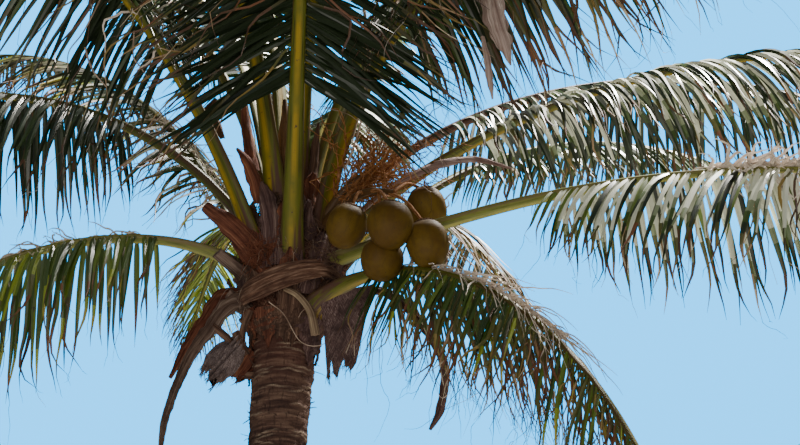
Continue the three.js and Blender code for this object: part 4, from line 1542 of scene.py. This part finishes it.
def spear_surface(rows=60, columns=48):
    """A tall narrow cone with pleats that wind a little, in the place of the solid spear."""
    t = shares(rows)
    foot = trunk_centre(HEART_HEIGHT) + (0, 0, HEART_RADII[-1][0] - HEART_BITE)
    centre = (foot + t[:, None] * SPEAR_LENGTH * np.array([SPEAR_LEAN, 0, 1]))[None]
    pleats = 0.5 + 0.5 * np.cos(SPEAR_PLEATS * full_turn(columns) + 3 * t[:, None])
    bump = 1 - 0.22 * pleats * (1 - t[:, None] ** 3)
    shrink = 1 - 0.93 * t**1.6
    return swept(centre, SPEAR_HALF[0] * shrink, SPEAR_HALF[1] * shrink, columns, bump=bump[None])


grained_piece("spear", "frond", spear_surface(), GREEN_STALK, 40.0, ["spear_leaf"], edge=0.2, run=1.0)

# %% [markdown]
# ## Dry bracts
# A bract is the woody boat that once held a bunch of flowers. It dries, splits and hangs on. Each one
# follows the line of its solid and is rolled about that line as the solid is. It is a thin cupped sheet
# with ragged edges and a long fibrous grain.

# %% Bracts
GREY_BRACT = sheath_finish("grey_bract", (0.045, 0.026, 0.02), (0.13, 0.085, 0.065), (0.24, 0.18, 0.14))
PALE_BRACT = sheath_finish("pale_bract", (0.15, 0.085, 0.07), (0.34, 0.24, 0.21), (0.62, 0.52, 0.48))
BRACTS = {  # each point of a line is the distance from the heart's axis and the height above its middle
    "bract_left_short": dict(
        turn=-172, roll=70, finish=RUST, half=(0.030, 0.040, 0.034, 0.024, 0.008),
        line=((0.180, -0.090), (0.298, -0.109), (0.370, -0.216), (0.453, -0.360), (0.514, -0.492)),
    ),
    "bract_left_long": dict(
        turn=-156, roll=62, finish=GREY_BRACT, half=(0.036, 0.042, 0.036, 0.030, 0.024, 0.020, 0.007),
        line=(
            (0.180, -0.135), (0.288, -0.171), (0.377, -0.301), (0.455, -0.428),
            (0.530, -0.621), (0.569, -0.783), (0.575, -0.960),
        ),
    ),
    "bract_right_long": dict(
        turn=-20, roll=68, finish=MAUVE, half=(0.026, 0.026, 0.024, 0.020, 0.020, 0.018, 0.006),
        line=(
            (0.200, -0.130), (0.388, -0.107), (0.518, -0.171), (0.655, -0.351),
            (0.722, -0.519), (0.699, -0.696), (0.653, -0.780),
        ),
    ),
    "bract_upper_right": dict(
        turn=-26, roll=50, finish=PALE_BRACT, half=(0.010, 0.015, 0.032, 0.040, 0.036, 0.024, 0.006),
        line=(
            (0.172, 0.158), (0.267, 0.208), (0.461, 0.328), (0.629, 0.392),
            (0.773, 0.413), (0.915, 0.398), (1.077, 0.322),
        ),
    ),
}


def bract_sheet(turn, roll, half, line, finish, seed, rows=64, columns=17):
    """A cupped sheet along a bract's line, as points and grain, and its finish.

    Across the line the broad direction is the level one turned by roll about the line. A point lies s
    half widths out and 0.45 half widths times (s^2 - 0.5) back, with uneven edges and a wavy face.
    """
    flat = np.array(line)
    outward = around(np.radians(turn))
    centre = through(trunk_centre(HEART_HEIGHT) + flat[:, :1] * outward + flat[:, 1:] * UPWARDS, rows)
    half = spread(half, rows)[:, None, None]
    ahead = unit(np.gradient(centre, axis=0))
    across = around(np.radians(turn + 90))
    roll = np.radians(roll)
    broad = unit(across * np.cos(roll) + np.cross(ahead, across) * np.sin(roll))[:, None]
    above = np.cross(ahead[:, None], broad)
    s = np.linspace(-1, 1, columns)[:, None]
    key = np.stack(np.broadcast_arrays(run_length(centre, 0)[:, None], s[:, 0] * 0.05, 0.0), -1)
    ragged = 1 + 0.16 * ripple(key, 0.09, seed)[..., None] * np.abs(s)
    wavy = 0.12 * ripple(key * (1, 4, 1), 0.12, seed + 1)[..., None]
    middle = centre[:, None] + broad * s * half * ragged - above * half * (0.45 * (s**2 - 0.5) + wavy)
    return sheets(middle[None], 0.006), finish


for number, (name, row) in enumerate(BRACTS.items()):
    shape, finish = bract_sheet(**row, seed=60 + number)
    grained_piece(f"boat_{name}", "dry", shape, finish, 50.0, [name])

# %% [markdown]
# ## Nuts
# A coconut in its husk is egg-shaped with three soft keels, and hangs by a cap of overlapping scales.
# Five of them crowd together on the right of the heart, under the stalk that bore the flowers. The nut
# is a surface over two angles: its radius follows the polar angle for the egg, times a small wave of
# three for the keels, about an axis that points to the stalk. The cap is a bowl over the nut's top,
# worked out with the same radius.

# %% Nut shapes
FRUIT_STALK = [(0.40, -0.10, 6.18), (0.50, -0.22, 6.24), (0.62, -0.36, 6.26), (0.74, -0.45, 6.22)]
POLE = 0.02  # angle from the axis at which a nut's first ring lies
NUTS = [  # centre, half width and half height of each nut
    ((0.535, -0.420, 6.072), 0.087, 0.099),
    ((0.725, -0.600, 6.000), 0.098, 0.106),
    ((0.688, -0.500, 5.882), 0.092, 0.090),
    ((0.884, -0.555, 5.932), 0.091, 0.109),
    ((0.885, -0.300, 6.205), 0.086, 0.098),
]


def frame_of(axis):
    """Two directions square to an axis and to each other, then the axis itself, all of length one."""
    axis = unit(np.asarray(axis, dtype=float))
    first = unit(np.cross(axis, (0.3, 0.9, 0.1)))
    return first, np.cross(axis, first), axis


def nut_axis(centre):
    """Where a nut hangs from: half way between straight up and towards the end of the fruit stalk."""
    towards = unit(np.subtract(FRUIT_STALK[-1], centre) + (0, 0, 0.05))
    return unit(towards * 0.5 + (0, 0, 0.9))


def on_nut(centre, radius, height, turn):
    """A surface about a nut's axis as points, and its grain: across, above and along the nut."""
    local = np.stack([radius * np.cos(turn), radius * np.sin(turn), height + 0 * turn], -1)[None]
    return np.array(centre) + local @ np.array(frame_of(nut_axis(centre))), local


def nut_surface(centre, half_width, half_height, rows=44, columns=40):
    """An egg with three keels about its axis, a little uneven."""
    polar = np.linspace(POLE, np.pi - POLE, rows)[:, None]
    turn = full_turn(columns)
    keels = 1 + 0.03 * np.cos(3 * turn + centre[0] * 40)
    level = np.sin(polar)
    key = np.stack([level * np.cos(turn), level * np.sin(turn), np.cos(polar) + 0 * turn], -1)
    uneven = 1 + 0.02 * ripple(key, 1.1, int(centre[0] * 1000))
    radius = half_width * level**0.86 * (1 + 0.06 * np.cos(polar)) * keels * uneven
    return on_nut(centre, radius, half_height * np.cos(polar), turn)


def cap_surface(centre, half_width, half_height, rows=14, columns=42):
    """The cap of scales on a nut: a shallow bowl over its top whose rim has six lobes."""
    turn = full_turn(columns)
    lobes = 0.82 + 0.18 * np.abs(np.cos(3 * turn + centre[1] * 30))
    t = shares(rows)[:, None]
    inside = t > 0.5
    polar = POLE + np.where(inside, 2 - 2 * t, 2 * t) * 0.56 * lobes
    off = np.where(inside, 1.01, 1.06)
    return on_nut(centre, half_width * np.sin(polar) ** 0.86 * off, half_height * np.cos(polar) * off, turn)


print("nuts:", len(NUTS))

# %% Nut finish


def nut_finish():
    """Olive-brown husk: broad blotches, faint lengthwise streaks, scuffs and a browner top."""
    husk = Finish("nut_husk", 0.62, 0.2)
    olive, golden = (0.088, 0.045, 0.005), (0.128, 0.076, 0.007)
    streak_brown, top_brown, scuff = (0.065, 0.038, 0.007), (0.075, 0.04, 0.014), (0.045, 0.026, 0.012)
    lines = husk.group(STREAKS, husk.attribute("grain"), Across=38.0, Along=4.0)
    marks = husk.group(BLOTCHES, husk.place(), Scale=8.0)
    base = husk.ramp(marks["Blotch"], (0.38, olive), (0.62, golden))
    streaked = husk.mix(husk.mask(lines["Streak"], 0.5, 0.75), base, streak_brown)
    top = husk.mask(husk.axis(husk.attribute("grain"), "Z"), 0.03, 0.11)
    topped = husk.mix(husk.combine(top, 0.7), streaked, top_brown)
    husk.colour(husk.mix(husk.mask(marks["Speck"], 0.64, 0.72), topped, scuff))
    husk.relief(husk.combine(lines["Streak"], marks["Blotch"], "ADD"), 0.003, 0.4)
    return husk.material


HUSK = nut_finish()
CAP = sheath_finish("nut_cap", (0.05, 0.024, 0.014), (0.16, 0.085, 0.045), (0.3, 0.2, 0.12), across=160.0)
grained_piece("nuts", "fibre", joined(nut_surface(*nut) for nut in NUTS), HUSK)
grained_piece("nut_caps", "fibre", joined(cap_surface(*nut) for nut in NUTS), CAP, 50.0)

# %% [markdown]
# The fruit stalk comes out of the heart between the fronds. Each nut hangs on a short branch of it. Above
# it stands last season's flower branch: a bush of thin kinked orange-brown twigs, which grow by a seeded
# rule. Main twigs start on the stalk and wander to their ends, and side twigs start along them.

# %% Fruit stalk and flower branches
FLOWER_STEM = [(0.38, -0.08, 6.16), (0.46, -0.16, 6.27), (0.55, -0.22, 6.36), (0.66, -0.25, 6.42)]
TWIG_CLOUD = (0.755, -0.24, 6.50)  # middle of the box in which the main twigs end
TWIG_CLOUD_HALF = (0.24, 0.10, 0.21)
MAIN_TWIGS = 52
SIDE_TWIGS = 7  # on each main twig
STEM_RINGS = 30
TWIG = sheath_finish("twig", (0.1, 0.032, 0.009), (0.28, 0.11, 0.03), (0.5, 0.3, 0.15), 300.0, 30.0)
FRUIT_STEM = stalk_finish("fruit_stem", (0.16, 0.09, 0.02), (0.09, 0.045, 0.014), (0.06, 0.03, 0.012))


def nut_branches(rows=14):
    """A bent line (nuts, rows, 3) from the end part of the fruit stalk to the top of each nut."""
    stalk = through(FRUIT_STALK, 12)
    lines = []
    for number, (centre, _, half_height) in enumerate(NUTS):
        top = np.array(centre) + nut_axis(centre) * half_height * 0.97
        start = stalk[7 + number % 5]
        lines.append(through([start, (start + top) / 2 + (0, 0, 0.03), top], rows))
    return np.stack(lines)


def bush(stem, ends, twigs_each, seed):
    """Lines of main twigs from a stem to a cloud of ends, and lines of side twigs that start on them."""
    draw = seeded(seed)
    starts = through(stem, 40)[draw.integers(12, 40, len(ends))]
    gap = ends - starts
    main = wander(starts, unit(gap), np.linalg.norm(gap, axis=1), 0.16, 0.0, seed + 1, 14)
    pick = draw.integers(3, 15, (len(ends), twigs_each))
    roots = main[np.arange(len(ends))[:, None], pick].reshape(-1, 3)
    ways = unit(np.repeat(unit(gap), twigs_each, axis=0) + draw.normal(0, 0.8, roots.shape))
    side = wander(roots, ways, draw.uniform(0.06, 0.24, len(roots)), 0.42, 0.4, seed + 2, 9)
    return main, side


draw = seeded(80)
ends = np.array(TWIG_CLOUD) + draw.uniform(-1, 1, (MAIN_TWIGS, 3)) * TWIG_CLOUD_HALF
main_twigs, side_twigs = bush(FLOWER_STEM, ends, SIDE_TWIGS, seed=81)
strands("flower_twigs", "fibre", main_twigs, 0.0042, TWIG, columns=6, tip=0.5)
strands("flower_side_twigs", "fibre", side_twigs, 0.0026, TWIG, columns=3, tip=0.5)

stems = np.stack([through(line, STEM_RINGS) for line in (FRUIT_STALK, FLOWER_STEM)])
half_width, half_height = (spread(ends, STEM_RINGS) for ends in ((0.026, 0.012), (0.019, 0.010)))
stem_shape = swept(stems, half_width, half_height, columns=14)
grained_piece("fruit_stalks", "fibre", stem_shape, FRUIT_STEM, 35.0, edge=0.8, run=1.0)
strands("nut_branches", "fibre", nut_branches(), 0.0085, TWIG, columns=8, tip=0.8)

# %% [markdown]
# ## Torn cloth and dry scraps
# Below the heart hang scraps of old sheaths: a ragged flap on the right and a tuft on the left. A cloth
# simulation could hang them, but their torn outline matters more than their folds. So each is a sheet
# between four corners, cupped and uneven, with a fringe of bristles.

# %% Flap and tuft
CLOTH = woven_finish("mauve_cloth", (0.05, 0.03, 0.028), (0.14, 0.085, 0.078), (0.32, 0.23, 0.2), 220.0, 10.0)
GREY_CLOTH = woven_finish("grey_cloth", (0.07, 0.05, 0.05), (0.2, 0.15, 0.14), (0.4, 0.33, 0.31), 260.0, 8.0)
BRISTLE = plain_fibre("grey_bristle", (0.07, 0.045, 0.04), (0.26, 0.19, 0.165))


def hanging_cloth(corners, sag, swell, seed, rows=26, columns=21):
    """Middle surface (1, rows, columns, 3) of a scrap between four corners, with a ragged lower edge.

    Rows run from the upper edge to the lower one and end sooner or later by an uneven wave. The face
    bulges by sag in its middle and has upright folds. It is wider by swell halfway down.
    """
    top_left, top_right, low_left, low_right = (np.array(c) for c in corners)
    torn = 1 + 0.22 * ripple(shares(columns)[:, None] * (1, 0, 0), 0.35, seed)[None, :, None]
    t = shares(rows)[:, None, None] * torn
    across = np.linspace(-0.5, 0.5, columns)[None, :, None]
    s = 0.5 + across * (1 + swell * np.sin(np.pi * np.clip(t, 0, 1)))
    flat = (1 - t) * ((1 - s) * top_left + s * top_right) + t * ((1 - s) * low_left + s * low_right)
    normal = unit(np.cross(top_right - top_left, low_left - top_left))
    key = np.concatenate(np.broadcast_arrays(s, t * 0.15, 0 * t), -1)
    bulge = sag * np.cos(np.pi * across) * (0.3 + 0.7 * t) + 0.012 * ripple(key, 0.3, seed + 1)[..., None]
    return (flat - normal * bulge)[None]


def fringe(middle, count, length, seed):
    """Lines of bristles along the lower edge of a scrap, which go on from its last rows."""
    draw = seeded(seed)
    row = middle.shape[1] - 1 - draw.integers(0, 7, count)
    column = draw.integers(0, middle.shape[2], count)
    starts = middle[0, row, column]
    ways = unit(middle[0, row, column] - middle[0, row - 3, column] + draw.normal(0, 0.008, (count, 3)))
    return wander(starts, ways, draw.uniform(0.5, 1.0, count) * length, 0.08, 0.2, seed + 1, 7)


SCRAPS = {  # corners, bulge, swell, finish, bristles and their length
    "right_flap": (
        [(0.425, -0.25, 5.78), (0.65, -0.38, 5.83), (0.455, -0.29, 5.43), (0.58, -0.34, 5.47)],
        0.03, 0.0, CLOTH, 90, 0.05,
    ),
    "left_tuft": (
        [(0.044, -0.08, 5.70), (0.10, -0.08, 5.665), (-0.095, -0.10, 5.515), (-0.025, -0.10, 5.468)],
        0.06, 1.0, GREY_CLOTH, 220, 0.035,
    ),
    "left_tuft_back": (
        [(0.07, -0.05, 5.69), (0.145, -0.05, 5.62), (0.0, -0.05, 5.53), (0.08, -0.05, 5.50)],
        0.02, 0.4, RUST, 90, 0.03,
    ),
}
for number, (name, (corners, sag, swell, finish, bristles, length)) in enumerate(SCRAPS.items()):
    middle = hanging_cloth(corners, sag, swell, seed=90 + 2 * number)
    grained_piece(name, "fibre", sheets(middle, 0.005), finish)
    strands(f"{name}_fringe", "fibre", fringe(middle, bristles, length, 120 + number), 0.0014, BRISTLE)

# %% [markdown]
# From the high front fronds hang two torn pieces of dead leaf, bleached almost white. They are ribbons,
# like the single sheaths, with more ragged edges.

# %% Hanging dry leaves
DRY_LEAF = sheath_finish("dry_leaf", (0.2, 0.12, 0.1), (0.46, 0.35, 0.31), (0.72, 0.6, 0.54))
HANGING = [  # line and half widths of the two torn leaves that hang from the high front fronds
    (
        [(1.15, -0.75, 7.10), (1.18, -0.75, 6.92), (1.21, -0.75, 6.80), (1.24, -0.75, 6.68)],
        [0.045, 0.05, 0.036, 0.003],
    ),
    (
        [(1.12, -0.75, 6.82), (1.14, -0.75, 6.71), (1.15, -0.75, 6.61), (1.16, -0.75, 6.52)],
        [0.008, 0.016, 0.015, 0.003],
    ),
]
middles = [ribbon(*row, FRONT, curl=0.9, seed=150 + n, ragged=0.25) for n, row in enumerate(HANGING)]
grained_piece("hanging_dry_leaves", "frond", sheets(np.concatenate(middles), 0.003), DRY_LEAF, 50.0)

# %% [markdown]
# Dark straps, the torn edges of a sheath, hold the tuft to the trunk. Under the twisted band hangs the
# end of a cut stalk. Both are plain tubes swept along a few points.

# %% Straps and cut stalk
STRAPS = [  # dark straps that hold the tuft, from the sheaths down and across to the trunk
    [(0.115, -0.13, 5.80), (0.085, -0.11, 5.72), (0.075, -0.07, 5.62)],
    [(0.05, -0.10, 5.71), (0.07, -0.10, 5.66), (0.10, -0.07, 5.615)],
    [(0.165, -0.06, 5.53), (0.12, -0.05, 5.525), (0.05, -0.04, 5.54)],
    [(-0.07, -0.13, 5.74), (0.0, -0.12, 5.69), (0.06, -0.08, 5.64)],
]
straps = np.stack([through(line, 12) for line in STRAPS])
strap_shape = swept(straps, half_width=0.017, half_height=0.006, columns=10, side=(0.3, 0.9, 0.2))
grained_piece("tuft_straps", "fibre", strap_shape, UMBER)

CUT_STALK = [(0.27, -0.235, 5.86), (0.33, -0.262, 5.815), (0.383, -0.266, 5.74), (0.405, -0.262, 5.635)]
CUT_STALK_FINISH = sheath_finish("cut_stalk", (0.07, 0.04, 0.025), (0.2, 0.135, 0.085), (0.42, 0.33, 0.2))
cut_shape = swept(through(CUT_STALK, 24)[None], spread((0.013, 0.02), 24), half_height=0.011, columns=14)
grained_piece("cut_stalk", "fibre", cut_shape, CUT_STALK_FINISH, 35.0)

# %% [markdown]
# A few long threads of fibre hang free and catch the light, and one bends in a loop below the heart.
# They are thin, but stand out against the sky, so each is placed one by one.

# %% Long threads
THREADS = [  # the loop below the heart, then pale strands among the stalks
    [(0.20, -0.23, 5.80), (0.266, -0.22, 5.745), (0.337, -0.20, 5.63), (0.423, -0.20, 5.61),
     (0.50, -0.23, 5.66)],
    [(0.591, -0.50, 7.03), (0.627, -0.45, 6.80), (0.59, -0.40, 6.62), (0.548, -0.35, 6.46)],
    [(0.60, -0.50, 7.00), (0.612, -0.44, 6.82), (0.60, -0.38, 6.60), (0.53, -0.30, 6.38)],
    [(0.43, -0.24, 6.72), (0.48, -0.26, 6.70), (0.54, -0.30, 6.66), (0.58, -0.32, 6.62)],
    [(0.07, -0.25, 6.86), (0.09, -0.24, 6.72), (0.12, -0.22, 6.60), (0.13, -0.20, 6.50)],
    [(0.60, -0.50, 7.16), (0.63, -0.50, 6.83), (0.60, -0.50, 6.54), (0.53, -0.50, 6.30)],
    [(-0.53, -0.60, 7.11), (-0.61, -0.60, 6.92), (-0.67, -0.60, 6.82), (-0.67, -0.60, 6.72)],
    [(-0.60, -0.60, 6.84), (-0.58, -0.60, 6.77), (-0.55, -0.60, 6.71), (-0.50, -0.60, 6.65)],
    [(-0.39, -0.60, 6.92), (-0.39, -0.60, 6.80), (-0.36, -0.60, 6.75), (-0.32, -0.60, 6.69)],
]
THREAD_SIZES = [0.0022, 0.005, 0.003, 0.0022, 0.004, 0.008, 0.004, 0.005, 0.004]
lines = np.stack([through(line, 30) for line in THREADS])
strands("long_threads", "fibre", lines, THREAD_SIZES, PALE_FIBRE, columns=6)

# %% [markdown]
# The back and the sides of the heart are not in the photograph. A palm that has shed many fronds keeps
# the stumps of their stalks there, so a row of short flat tubes stands out of the heart.

# %% Old stumps of stalks
STUMPS = [  # compass angle and height above the heart's middle
    (18, -0.16), (50, -0.2), (88, -0.14), (122, -0.19), (158, -0.15), (196, -0.18), (214, -0.05),
    (70, -0.02), (140, 0.0),
]


def old_stumps(seed, rings=14, columns=16):
    """Flat tubes that stand out of the heart, narrow a little and have uneven sides."""
    draw = seeded(seed)
    count = len(STUMPS)
    degrees, foot = np.array(STUMPS).T
    turn = np.radians(degrees) + draw.normal(0, 0.05, count)
    start = on_heart(turn, foot, -0.03)
    way = unit(around(turn) + draw.uniform(0.5, 0.9, (count, 1)) * UPWARDS)
    length = draw.uniform(0.12, 0.22, (count, 1, 1))
    t = shares(rings)
    lines = start[:, None] + way[:, None] * t[:, None] * length
    half_width = 0.062 - 0.022 * t**0.6
    key = lines[:, :, None] + shares(columns)[:, None] * (1, 0, 0)
    bump = 1 + 0.06 * ripple(key, 0.25, seed)
    return swept(lines, half_width, half_width * 0.42, columns, side=UPWARDS, bump=bump)


grained_piece("old_stalk_stumps", "fibre", old_stumps(140), GREY_BRACT, 50.0)
print("stumps:", len(STUMPS))

# %% [markdown] ## The end A plain pale floor goes under the palm, as part of the stage and not of
# the palm.

# %% Floor and the end
FLOOR = 14.0  # half of the floor's side
FLOOR_LEVEL = -0.002
FLOOR_COLOUR = (0.40, 0.39, 0.37)
floor_mesh = bpy.data.meshes.new("floor")
corners = [(-FLOOR, -FLOOR), (FLOOR, -FLOOR), (FLOOR, FLOOR), (-FLOOR, FLOOR)]
floor_mesh.from_pydata([(x, y, FLOOR_LEVEL) for x, y in corners], [], [(0, 1, 2, 3)])
floor = new_object("floor", floor_mesh)
pale = Finish("pale_floor", 0.9, 0.2)
pale.colour(FLOOR_COLOUR)
floor_mesh.materials.append(pale.material)
